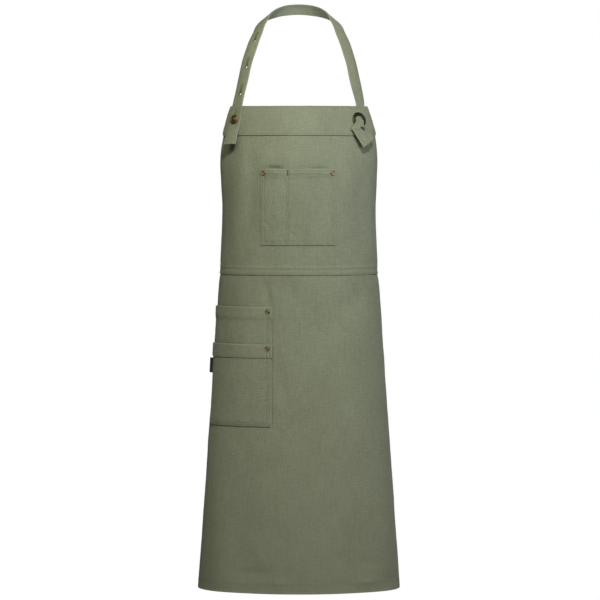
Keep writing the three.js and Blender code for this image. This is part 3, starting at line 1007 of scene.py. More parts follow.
def wall_faces(steps: int, count: int) -> list[tuple[int, ...]]:
    """Faces of a closed wall whose rings have one outer and one inner point for each station.

    Args:
        steps: number of rings.
        count: number of stations in a ring.

    Returns:
        The faces, all looking outwards.
    """
    ring = 2 * count
    sides = [ring_quads(ring, number, number + 1) for number in range(steps - 1)]
    start = np.arange(count - 1)
    back = ring - 1 - start
    last = (steps - 1) * ring
    caps = [
        np.stack([start, back, back - 1, start + 1], axis=-1),
        np.stack([last + start, last + start + 1, last + back - 1, last + back], axis=-1),
    ]
    return [tuple(face) for face in np.concatenate([*sides, *caps]).tolist()]


@dataclass
class ClothWall:
    """A closed wall of cloth: a path in lift and drop that is drawn across columns and worn.

    The path runs so that the cloth's outer face is on its right. columns gives u for each column and
    each drop, and insets the distance of each column from the nearer side edge. Over the first length
    of taper the wall grows from a thin edge. Where the path turns by more than sharp_turn, it is worn.
    """

    form: WornForm
    path: Array
    columns: Callable[[Array], Array]
    insets: Array
    half: float = CANVAS / 2
    relief: Relief | None = None
    growth: Callable[[Array, Array], Array] | None = None
    shift: Callable[[Array, Array], Array] | None = None
    taper: float = 0.0
    thin: float = 0.3
    sharp_turn: float = 0.25
    fold_wear: float = 0.9

    def shape(self) -> Shape:
        """Draw the wall.

        Returns:
            The closed shape.
        """
        way = unit(np.gradient(self.path, axis=0))
        left = np.stack([-way[:, 1], way[:, 0]], axis=-1)
        run = lengths_along(self.path)
        from_end = from_ends(run)
        ease = eased(from_end, self.half)[None, :] * eased(self.insets, self.half)[:, None]
        if self.taper:
            grown = smooth_step(run, 0, self.taper)
            ease = ease * (self.thin + (1 - self.thin) * grown)[None, :]
        u = self.columns(self.path[:, 1])
        if self.shift is not None:
            u = u + self.shift(self.path, self.insets)
        raised = np.zeros(u.shape)
        if self.relief is not None:
            raised = self.relief(u, np.broadcast_to(self.path[:, 1], u.shape))
        sides = []
        for side in (-1, 1):
            lift = self.path[:, 0] + side * left[:, 0] * self.half * ease + raised
            drop = self.path[:, 1] + side * left[:, 1] * self.half * ease
            if side == 1 and self.growth is not None:
                lift = lift - self.growth(self.insets[:, None], self.path[None, :, 1]) * ease
            sides.append((lift, drop))
        lift, drop = (both_faces(outer, inner) for outer, inner in zip(*sides))
        wide = both_faces(u, u)
        points = self.form.place(wide, drop, lift).reshape(-1, 3)
        rub = np.maximum(np.exp(-from_end / PANEL_RUB)[None, :], np.exp(-self.insets / PANEL_RUB)[:, None])
        bend = np.linalg.norm(np.gradient(way, axis=0), axis=1) > self.sharp_turn
        rub = np.maximum(rub, np.where(bend, self.fold_wear, 0)[None, :])
        wear = both_faces(rub, rub).ravel()
        cloth = np.stack([wide, drop], axis=-1).reshape(-1, 2)
        return Shape(points, wall_faces(len(self.insets), len(self.path)), cloth, wear)


@dataclass(frozen=True)
class Seam:
    """A straight row of stitches on the cloth, with the dent and the puckers that it makes."""

    start: Place
    end: Place
    dent: float = 0.45
    pucker: float = 0.35
    reach: float = 4.5
    seed: int = 1
    spread: float = 1.3

    FIRST_SEED: ClassVar[int] = 100
    END_FADE: ClassVar[float] = 2.5
    LONG_PUCKER: ClassVar[Pair] = (7.5, 9.0)
    SHORT_PUCKER: ClassVar[Pair] = (3.6, 8.0)

    def offsets(self, u: Array, drop: Array) -> tuple[Array, Array, Array]:
        """Distances of places from the row.

        Args:
            u, drop: places on the cloth.

        Returns:
            Distance across the row, distance along it, and distance past its ends.
        """
        way = np.subtract(self.end, self.start)
        length = float(np.hypot(*way))
        way = way / length
        du = u - self.start.u
        dd = drop - self.start.drop
        along = du * way[0] + dd * way[1]
        past = np.maximum(np.maximum(-along, along - length), 0)
        return du * way[1] - dd * way[0], along, past

    def relief(self, u: Array, drop: Array) -> Array:
        """How the row lowers and puckers the cloth.

        Args:
            u, drop: places on the cloth.

        Returns:
            The change of lift.
        """
        across, along, past = self.offsets(u, drop)
        noise = Unevenness(self.FIRST_SEED + self.seed)
        ends = np.exp(-((past / self.END_FADE) ** 2))
        dent = self.dent * np.exp(-((across / self.spread) ** 2))
        long, wide = self.LONG_PUCKER
        ripple = noise.at(along / long, across / wide + 0.37)
        long, wide = self.SHORT_PUCKER
        ripple = ripple + 0.6 * noise.at(along / long + 9, across / wide)
        return ends * (self.pucker * ripple * np.exp(-((across / self.reach) ** 2)) - dent)

    def line(self, spacing: float) -> tuple[Array, Array]:
        """Places along the row.

        Args:
            spacing: largest distance between them.

        Returns:
            u and drop of each place.
        """
        count = max(2, math.ceil(math.dist(self.start, self.end) / spacing) + 1)
        part = np.linspace(0, 1, count)
        u = self.start.u + (self.end.u - self.start.u) * part
        return u, self.start.drop + (self.end.drop - self.start.drop) * part


@dataclass(frozen=True)
class EdgeSeam(Seam):
    """A row of stitches that follows a side edge of the panels at an inset."""

    form: WornForm = field(kw_only=True)
    side: Side = field(kw_only=True)
    inset: float = SIDE_ROW

    def offsets(self, u: Array, drop: Array) -> tuple[Array, Array, Array]:
        """Distances of places from the row, as for a straight one."""
        past = np.maximum(np.maximum(self.start.drop - drop, drop - self.end.drop), 0)
        return self.form.half_cut(drop) - self.inset - self.side.value * u, drop - self.start.drop, past

    def line(self, spacing: float) -> tuple[Array, Array]:
        """Places along the row, as for a straight one.

        Args:
            spacing: largest step down between them.

        Returns:
            u and drop of each place.
        """
        count = math.ceil((self.end.drop - self.start.drop) / spacing) + 1
        drop = np.linspace(self.start.drop, self.end.drop, count)
        return self.side.value * (self.form.half_cut(drop) - self.inset), drop


def edge_seams(form: WornForm, inset: float, top: float, bottom: float, seed: int) -> list[Seam]:
    """A row of stitches along each side edge, between two drops."""
    ends = Place(0, top), Place(0, bottom)
    return [EdgeSeam(*ends, seed=seed + side.value, form=form, side=side, inset=inset) for side in Side]


@dataclass
class Stitching:
    """Rows of thread stitches that are gathered into one piece."""

    pitch: float = 3.3
    radius: float = 0.42
    share: float = 0.76
    sides: int = 6
    shade_step: float = 3.1
    shapes: list[Shape] = field(default_factory=list)

    def row(self, points: Array, normals: Array) -> None:
        """Sew a row of stitches along a line.

        Args:
            points: close points of the line.
            normals: outward directions at the points.
        """
        lengths = lengths_along(points)
        count = max(1, int(lengths[-1] / self.pitch))
        pitch = lengths[-1] / count
        middles = (np.arange(count) + 0.5) * pitch
        start = read_along(lengths, points, middles - pitch * self.share / 2)
        end = read_along(lengths, points, middles + pitch * self.share / 2)
        self.stitches(start, end, read_along(lengths, normals, middles))

    def stitches(self, starts: Array, ends: Array, normals: Array) -> None:
        """Sew single stitches.

        Args:
            starts, ends: where each stitch comes up and goes down.
            normals: outward direction at each.
        """
        way = ends - starts
        length = np.linalg.norm(way, axis=1)
        way = unit(way)
        over = unit(np.cross(normals, way))
        out = np.cross(way, over)
        along = np.array([-0.5, -0.38, 0.0, 0.38, 0.5])
        girth = np.array([0.4, 0.95, 1.0, 0.95, 0.4]) * self.radius
        arch = np.array([-0.7, 0.2, 0.5, 0.2, -0.7]) * self.radius
        turn = np.arange(self.sides) * 2 * math.pi / self.sides
        middle = (starts + ends) / 2
        spine = middle[:, None] + along[None, :, None] * length[:, None, None] * way[:, None]
        spine = spine + arch[None, :, None] * out[:, None]
        spoke = np.cos(turn)[None, :, None] * over[:, None] + np.sin(turn)[None, :, None] * out[:, None]
        points = spine[:, :, None] + girth[None, :, None, None] * spoke[:, None]
        count, rings = len(starts), len(along)
        size = rings * self.sides
        single = np.concatenate([ring_quads(self.sides, ring, ring + 1) for ring in range(rings - 1)])
        every = np.arange(count)[:, None, None] * size + single
        faces = [tuple(face) for face in every.reshape(-1, 4).tolist()]
        for first in range(0, count * size, size):
            faces.append(tuple(range(first + self.sides - 1, first - 1, -1)))
            faces.append(tuple(range(first + size - self.sides, first + size)))
        start = np.arange(count)[:, None, None] * self.shade_step
        run = start + along[None, :, None] * length[:, None, None] + np.zeros((1, 1, self.sides))
        around = np.broadcast_to(np.arange(self.sides) / self.sides, run.shape)
        cloth = np.stack([run, around], axis=-1).reshape(-1, 2)
        self.shapes.append(Shape(points.reshape(-1, 3), faces, cloth, np.zeros(count * size)))

    def piece(self, shop: Workshop, name: str, material: Material) -> Object:
        """Make one piece of all rows."""
        return shop.make(name, Shape.joined(self.shapes).mesh(name), material, Slot.CANVAS)


def reliefs(seams: Sequence[Seam]) -> Relief:
    """The dents and puckers of several seams together, as a function of u and drop."""
    return lambda u, drop: sum((seam.relief(u, drop) for seam in seams), np.zeros(np.shape(u)))


def sew_seams(
    shop: Workshop, name: str, seams: Sequence[Seam], lift: Relief, sewing: Stitching
) -> Object:
    """Sew seams of the cloth.

    Args:
        shop: the workshop.
        name: name of the piece.
        seams: the seams.
        lift: lift of the outer face at a place.
        sewing: stitching that sets pitch and thread.

    Returns:
        The stitching as one piece.
    """
    for seam in seams:
        u, drop = seam.line(1.0)
        sewing.row(shop.form.place(u, drop, lift(u, drop)), shop.form.normal(u, drop))
    return sewing.piece(shop, name, shop.thread)


def in_side_hem(inset: Array) -> Array:
    """Share of the turned side hem at a distance from the side edge."""
    return 1 - smooth_step(inset, SIDE_HEM - 0.4, SIDE_HEM + 0.8)


@dataclass
class PanelCut:
    """Columns of a panel that follow its cut: close ones in the side hems, even ones between."""

    form: WornForm
    spacing: float = 4.5
    hem: float = 16.0
    overhang: float = 0.0
    fine: tuple[float, ...] = (10.0,)
    level: float = HEM_EDGE
    close: Pair | None = None
    close_count: int = 12
    clear: float = 0.002

    def __post_init__(self) -> None:
        """Set the columns' insets and their shares between the hems."""
        edge = stations([0, self.hem], self.spacing, self.fine)
        self.edge = edge[edge <= self.hem]
        widest = float(self.form.half_cut(self.level))
        self.shares = np.linspace(-1, 1, math.ceil(2 * (widest - self.hem) / self.spacing) + 1)[1:-1]
        if self.close is not None:
            low, high = self.close
            inside = (self.shares > low - self.clear) & (self.shares < high + self.clear)
            closer = np.linspace(low, high, self.close_count)
            self.shares = np.sort(np.concatenate([self.shares[~inside], closer]))
        middle = np.full(len(self.shares), self.hem)
        self.insets = np.concatenate([self.edge, middle, self.edge[::-1]])

    def columns(self, drop: Array) -> Array:
        """u of every column at each drop.

        Args:
            drop: drops of a path.

        Returns:
            One row for each column.
        """
        half = self.form.half_cut(drop)[None, :] + self.overhang
        left = -half + self.edge[:, None]
        middle = self.shares[:, None] * (half - self.hem)
        return np.concatenate([left, middle, -left[::-1]])


@dataclass
class BibPanel:
    """The bib: one layer that laps over the skirt at the waist, with turned side hems."""

    shop: Workshop
    top: float = TOP_EDGE + 2
    bottom: float = WAIST_SEAM
    lap: float = WAIST_LAP
    ramp: float = 8.0
    step: float = 4.5
    mouth: float = 301.0
    dents: tuple[FoldRow, ...] = (
        FoldRow(-45, 299.5, 0, 14, 4.5, -4.0),
        FoldRow(34, 300, 0, 13, 4.2, -2.0),
    )

    def seams(self) -> list[Seam]:
        """Rows along the waist and the side hems.

        Returns:
            The rows.
        """
        form = self.shop.form
        half = float(form.half_cut(self.bottom - 2)) - ROW_END
        rows: list[Seam] = []
        waist_rows = ((self.bottom - 2.2, 0.15, 1.3), (self.bottom - self.lap, 0.8, 2.6))
        for number, (drop, dent, spread) in enumerate(waist_rows):
            ends = Place(-half, drop), Place(half, drop)
            rows.append(Seam(*ends, dent, pucker=0.3, reach=4.0, seed=20 + number, spread=spread))
        return rows + edge_seams(form, SIDE_ROW, BAND_END + 1, self.bottom - 14, 24)

    def middle(self, drop: Array) -> Array:
        """Lift of the middle of the layer."""
        full = self.bottom - self.lap
        return CANVAS / 2 + PLY * smooth_step(drop, full - self.ramp, full)

    def growth(self, inset: Array, drop: Array) -> Array:
        """Extra thickness of the turned hems on the inside, from the band to the waist seam.

        Args:
            inset: distances from the side edge.
            drop: drops below the nape.

        Returns:
            The thickness at each place.
        """
        low = self.bottom - 21
        clear = smooth_step(drop, BAND_END + 3, BAND_END + 5) - smooth_step(drop, low, low + 3)
        return CANVAS * in_side_hem(inset) * clear

    def build(self) -> Object:
        """Build the panel and its stitching.

        Returns:
            The panel.
        """
        form = self.shop.form
        seams = self.seams()
        fine = [seam.start.drop for seam in seams[:2]]
        fine += [self.bottom - self.lap - self.ramp, self.mouth - 2, self.mouth + 4]
        spots = [spot - self.top for spot in fine]
        drop = self.top + stations([self.top, self.bottom], self.step, spots)
        path = np.stack([self.middle(drop), drop], axis=-1)
        cut = PanelCut(form, level=WAIST_SEAM)
        sewn = reliefs(seams)

        def relief(u: Array, drop: Array) -> Array:
            """Seams and the dents behind the pocket's mouth."""
            return sewn(u, drop) + fold_rise(self.dents, u, drop)

        def outer(u: Array, drop: Array) -> Array:
            """Lift of the outer face."""
            return self.middle(drop) + CANVAS / 2 + relief(u, drop)

        wall = ClothWall(form, path, cut.columns, cut.insets, relief=relief, growth=self.growth)
        panel = self.shop.canvas_piece("bib_cloth", wall.shape())
        thread = sew_seams(self.shop, "bib_stitching", seams, outer, Stitching())
        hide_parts("bib_panel")
        return panel


@dataclass
class SkirtPanel:
    """The skirt: one layer with a hem that is turned up inside and turned side hems."""

    shop: Workshop
    top: float = WAIST_SEAM - WAIST_LAP + GAP
    bottom: float = HEM_EDGE
    hem: float = 20.0
    step: float = 5.0
    pocket_shares: Pair = (-0.172, -0.146)
    pocket_side: float = -51.4
    pocket_top: float = 582.0
    pocket_bottom: float = 774.0

    def seams(self) -> list[Seam]:
        """Rows along the hems.

        Returns:
            The rows.
        """
        form = self.shop.form
        drop = self.bottom - self.hem + 3
        half = float(form.half_cut(drop)) - ROW_END
        hem = Seam(Place(-half, drop), Place(half, drop), dent=0.06, pucker=0.42, reach=7.5, seed=31)
        return [hem, *edge_seams(form, SIDE_ROW, WAIST_SEAM + 1, self.bottom - 1, 34)]

    def pulls(self) -> list[Seam]:
        """Grooves, with no stitches, that the pockets' rows pull in the cloth beside them."""
        start, end = (Place(self.pocket_side + 1.6, drop) for drop in (self.pocket_top, self.pocket_bottom))
        return [Seam(start, end, dent=1.25, pucker=0.25, reach=4.0, seed=38, spread=1.2)]

    def growth(self, inset: Array, drop: Array) -> Array:
        """Extra thickness of the turned side hems on the inside."""
        low = self.bottom - self.hem - 3
        return CANVAS * in_side_hem(inset) * (1 - smooth_step(drop, low, low + 2))

    def build(self) -> Object:
        """Build the panel and its stitching.

        Returns:
            The panel.
        """
        form = self.shop.form
        seams = self.seams()
        turn = PLY / 2
        corners = np.concatenate([
            [[CANVAS / 2, self.top]],
            half_turn(CANVAS / 2 - turn, self.bottom - CANVAS / 2 - turn, turn, 0, 180),
            [[CANVAS / 2 - PLY, self.bottom - self.hem]],
        ])
        length = self.bottom - self.top
        spots = [WAIST_SEAM - self.top, seams[0].start.drop - self.top, length + 14]
        path = along_path(corners, stations(corners, self.step, spots))
        cut = PanelCut(form, spacing=self.step, close=self.pocket_shares)
        relief = reliefs(seams + self.pulls())

        def outer(u: Array, drop: Array) -> Array:
            """Lift at which the thread lies, a little sunk in the outer face."""
            return CANVAS - THREAD_SUNK + relief(u, drop)

        wall = ClothWall(form, path, cut.columns, cut.insets, relief=relief, growth=self.growth)
        panel = self.shop.canvas_piece("skirt_cloth", wall.shape())
        thread = sew_seams(self.shop, "skirt_stitching", seams, outer, Stitching())
        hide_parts("skirt_panel")
        return panel


@dataclass
class TopBand:
    """The folded band over the bib's upper edge."""

    shop: Workshop
    top: float = TOP_EDGE
    bottom: float = BAND_END
    overhang: float = 1.2
    allowance: float = 15.0
    corner: float = 6.0
    corner_fade: float = 16.0
    low_row: float = 2.4
    high_row: float = 3.2
    end_row: float = 2.2
    ridge: float = 0.35
    slope: float = 0.45
    step: float = 3.5

    def seams(self) -> list[Seam]:
        """Rows along the band's lower edge, its upper fold and its ends.

        Returns:
            The rows.
        """
        form = self.shop.form
        rows: list[Seam] = []
        levels = ((self.bottom - self.low_row, 0.3), (self.top + self.high_row, 0.35))
        for number, (drop, dent) in enumerate(levels):
            half = float(form.half_cut(drop)) - 2
            ends = Place(-half, drop), Place(half, drop)
            rows.append(Seam(*ends, dent, pucker=0.22, reach=4.0, seed=41 + number))
        return rows + edge_seams(form, self.end_row, self.top + 5, self.bottom - 4, 44)

    def relief(self, u: Array, drop: Array) -> Array:
        """Seam dents, and the turned allowance that stands up along the lower edge.

        Args:
            u, drop: places on the cloth.

        Returns:
            The change of lift.
        """
        start = self.bottom - self.allowance
        ridge = self.ridge * smooth_step(drop, start - 2.5, start + 1)
        slope = self.slope * np.clip((drop - start) / self.allowance, 0, 1)
        return reliefs(self.seams())(u, drop) + ridge + slope

    def build(self) -> Object:
        """Build the band and its stitching.

        Returns:
            The band.
        """
        form = self.shop.form
        middle = CANVAS / 2
        turn = PLY
        corners = np.concatenate([
            [[middle - turn, self.bottom]],
            half_turn(middle, self.top + middle + turn, turn, 180, 180, 11),
            [[middle + turn, self.bottom]],
        ])
        height = self.bottom - self.top
        lines = [self.low_row, height + 2, height + 6]
        lines += [2 * height - self.allowance, 2 * height - self.low_row]
        path = along_path(corners, stations(corners, self.step, lines))
        cut = PanelCut(form, self.step, overhang=self.overhang, fine=(self.low_row,), level=BAND_END)
        sides = np.where(np.arange(len(cut.insets)) < len(cut.insets) / 2, 1, -1)

        def sided(u: Array, drop: Array) -> Array:
            """Keep the relief to the front leaf."""
            front = (path[:, 0] > middle)[None, :]
            return np.where(front, self.relief(u, drop), 0)

        def rounded(path: Array, insets: Array) -> Array:
            """Draw in the lower corners.

            Args:
                path: lifts and drops of the path.
                insets: distances of the columns from the nearer side edge.

            Returns:
                The shift of u.
            """
            into = np.clip(1 - (self.bottom - path[:, 1]) / self.corner, 0, 1)
            drawn = self.corner * (1 - np.sqrt(1 - np.minimum(into, 0.9) ** 2))
            fade = np.clip(1 - insets / self.corner_fade, 0, 1)
            return sides[:, None] * fade[:, None] * drawn[None, :]

        def outer(u: Array, drop: Array) -> Array:
            """Lift of the front leaf's outer face."""
            return middle + turn + CANVAS / 2 + self.relief(u, drop)

        wall = ClothWall(form, path, cut.columns, cut.insets, relief=sided, shift=rounded)
        band = self.shop.canvas_piece("band_cloth", wall.shape())
        thread = sew_seams(self.shop, "band_stitching", self.seams(), outer, Stitching())
        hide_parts("top_band")
        return band


class PocketHem(Enum):
    """How a pocket's upper edge is turned."""

    INWARDS = "inwards"
    OUTWARDS = "outwards"


@dataclass
class PatchPocket:
    """A patch pocket that is sewn down at its sides and bottom, with a turned hem at its mouth."""

    shop: Workshop
    name: str
    node: str
    left: float
    right: float
    top: float
    bottom: float
    hem: float
    base: float
    slack: float
    turn: PocketHem
    flat: Pair
    rests_on: str
    divider: float | None = None
    under: Relief | None = None
    hem_overhang: float = 0.0
    step: float = 2.0
    border: float = 8.5
    row_insets: Pair = (2.2, 7.4)
    seed: int = 50
    puckers: tuple[FoldRow, ...] = ()
    pressed: float = 0.0
    pressed_share: float = 0.33
    mouth_rise: float = 0.0
    mouth_reach: float = 15.0
    bottom_dip: float = 0.0
    dip_reach: float = 8.0
    border_rise: float = 0.12
    divider_gap: float = 2.0
    ramp_before: float = 3.0
    ramp_after: float = 6.0
    overhang_reach: float = 12.0
    bar_width: float = 1.7
    bar_pitch: float = 0.8
    thread_pitch: float = 3.0

    def slack_at(self, u: Array, drop: Array) -> Array:
        """How far the pocket stands off between its sewn edges.

        Args:
            u, drop: places on the cloth.

        Returns:
            The stand-off.
        """
        stops = [stop for stop in (self.left, self.divider, self.right) if stop is not None]
        up = np.clip((self.bottom - drop) / (self.bottom - self.top), 0, 1)
        stand = np.zeros(np.shape(u))
        for start, end in zip(stops[:-1], stops[1:]):
            across = np.clip((u - start) / (end - start), 0, 1)
            stand = stand + np.sin(math.pi * across)
        gape = self.mouth_rise * stand**2 * np.exp(-(((drop - self.top) / self.mouth_reach) ** 2))
        stand = self.slack * stand * np.sin(math.pi / 2 * np.minimum(1, up * 1.3)) + gape
        return stand if self.under is None else stand + self.under(u, drop)

    def seams(self) -> list[Seam]:
        """Double rows along the sewn edges, and rows along the hem and the divider.

        Returns:
            The rows.
        """
        rows: list[Seam] = []
        for number, inset in enumerate(self.row_insets):
            left, right, low = self.left + inset, self.right - inset, self.bottom - inset
            top = self.top + 2
            edges = (
                (Place(left, top), Place(left, low), 0.5, 0.25, 4.5),
                (Place(right, top), Place(right, low), 0.34 + 0.16 * number, 0.25, 4.5),
                (Place(left, low), Place(right, low), 0.3, 0.3, 5.5),
            )
            for seed, (start, end, dent, pucker, reach) in enumerate(edges, self.seed + 10 * number):
                rows.append(Seam(start, end, dent, pucker, reach, seed))
        hem_rows = (self.hem - 1.8,) if self.turn is PocketHem.OUTWARDS else (2.6, self.hem - 1.6)
        for number, inset in enumerate(hem_rows):
            drop = self.top + inset
            ends = Place(self.left + 1.5, drop), Place(self.right - 1.5, drop)
            rows.append(Seam(*ends, dent=0.5, pucker=0.22, reach=4.0, seed=self.seed + 4 + number))
        if self.divider is not None:
            for number, offset in enumerate((-self.divider_gap, self.divider_gap)):
                u = self.divider + offset
                ends = Place(u, self.top + 1.5), Place(u, self.bottom - 3)
                rows.append(Seam(*ends, dent=0.4, pucker=0.3, seed=self.seed + 7 + number))
            ends = Place(self.divider, self.top), Place(self.divider, self.top + self.hem + 1)
            rows.append(Seam(*ends, dent=1.1, pucker=0.2, seed=self.seed + 9, spread=1.6))
        return rows

    def relief(self, u: Array, drop: Array) -> Array:
        """Stand-off, seam dents, raised borders and puckers together.

        Args:
            u, drop: places on the cloth.

        Returns:
            The change of lift.
        """
        inset = np.minimum(np.minimum(u - self.left, self.right - u), self.bottom - drop)
        border = self.border_rise * (1 - smooth_step(inset, self.border - 1.2, self.border + 0.8))
        sewn = reliefs(self.seams())(u, drop)
        dip = self.bottom_dip * (1 - smooth_step(self.bottom - drop, 0.0, self.dip_reach))
        return self.slack_at(u, drop) + border + sewn + fold_rise(self.puckers, u, drop) - dip

    def corners(self) -> Array:
        """Path of the pocket's cloth in lift and drop, with its outer face on the right.

        Returns:
            The corners.
        """
        middle = self.base + CANVAS / 2
        turn = PLY / 2
        fold = self.top + CANVAS / 2 + turn
        end = self.top + self.hem
        if self.turn is PocketHem.OUTWARDS:
            low = 0.6 * PLY if self.pressed else PLY
            return np.concatenate([
                [[middle + low, end], [middle + PLY, end - max(self.pressed, 1.0)]],
                half_turn(middle + turn, fold, turn, 0, -180),
                [[middle, self.bottom]],
            ])
        step = CANVAS + 0.16
        slope = np.linspace(0, 1, 7)
        ease = slope**2 * (3 - 2 * slope)
        ramp_drop = end - self.ramp_before + (self.ramp_before + self.ramp_after) * slope
        ramp = np.stack([middle + step * (1 - ease), ramp_drop], axis=-1)
        return np.concatenate([
            [[middle - 0.1, end - 4]],
            half_turn(middle + step / 2, fold, step / 2, 180, 180),
            ramp,
            [[middle, self.bottom]],
        ])

    def outer_lift(self, u: Array, drop: Array) -> Array:
        """Lift of the pocket's outer face.

        Args:
            u, drop: places on the cloth.

        Returns:
            The lift.
        """
        end = self.top + self.hem
        if self.turn is PocketHem.OUTWARDS:
            flat = 1.0
            if self.pressed:
                flat = 1 - (1 - self.pressed_share) * smooth_step(drop, end - self.pressed, end)
            layer = PLY * flat * (1 - smooth_step(drop, end, end + 0.2))
        else:
            layer = CANVAS * (1 - smooth_step(drop, end - self.ramp_before, end + self.ramp_after))
        return self.base + CANVAS + layer + self.relief(u, drop)

    def build(self) -> Object:
        """Build the pocket and its stitching.

        Returns:
            The pocket.
        """
        form = self.shop.form
        corners = self.corners()
        run = self.hem + (self.bottom - self.top)
        spots = [*(run - inset for inset in self.row_insets), self.hem + 2, 2 * self.hem]
        path = along_path(corners, stations(corners, self.step, spots))
        width = self.right - self.left
        rows = [*self.row_insets, *(width - inset for inset in self.row_insets)]
        if self.divider is not None:
            offsets = (-self.divider_gap, 0, self.divider_gap)
            rows += [self.divider - self.left + offset for offset in offsets]
        places = stations([0, width], self.step, rows)
        insets = from_ends(places)
        let_out = smooth_step(places, width - self.overhang_reach, width)

        def columns(drop: Array) -> Array:
            """Set columns between the pocket's sides, the same at every drop."""
            return np.broadcast_to((self.left + places)[:, None], (len(places), len(drop)))

        def shift(path: Array, insets: Array) -> Array:
            """Let out the folded hem at its right end."""
            in_fold = smooth_step(path[:, 0], self.base + CANVAS + 0.1, self.base + CANVAS + 0.5)
            return self.hem_overhang * let_out[:, None] * in_fold[None, :]

        wall = ClothWall(form, path, columns, insets, relief=self.relief, shift=shift, taper=self.pressed)
        pocket = self.shop.canvas_piece(self.name, wall.shape())
        sewing = Stitching(self.thread_pitch)
        threads = [sew_seams(self.shop, f"{self.name}_stitching", self.seams(), self.outer_lift, sewing)]
        if self.divider is not None:
            threads.append(self.divider_bar())
        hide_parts(self.node)
        return pocket

    def divider_bar(self) -> Object:
        """Sew a close bar of stitches over the divider's upper end.

        Returns:
            The bar.
        """
        form = self.shop.form
        sewing = Stitching(radius=FINE_THREAD)
        drop = np.arange(self.top + 2, self.top + self.hem, self.bar_pitch)
        ends = []
        for side in (-0.5, 0.5):
            u = np.full(len(drop), self.divider + side * self.bar_width)
            ends.append(form.place(u, drop, self.outer_lift(u, drop) + 0.25))
        sewing.stitches(*ends, form.normal(np.full(len(drop), self.divider), drop))
        return sewing.piece(self.shop, "divider_bar", self.shop.bar_thread)


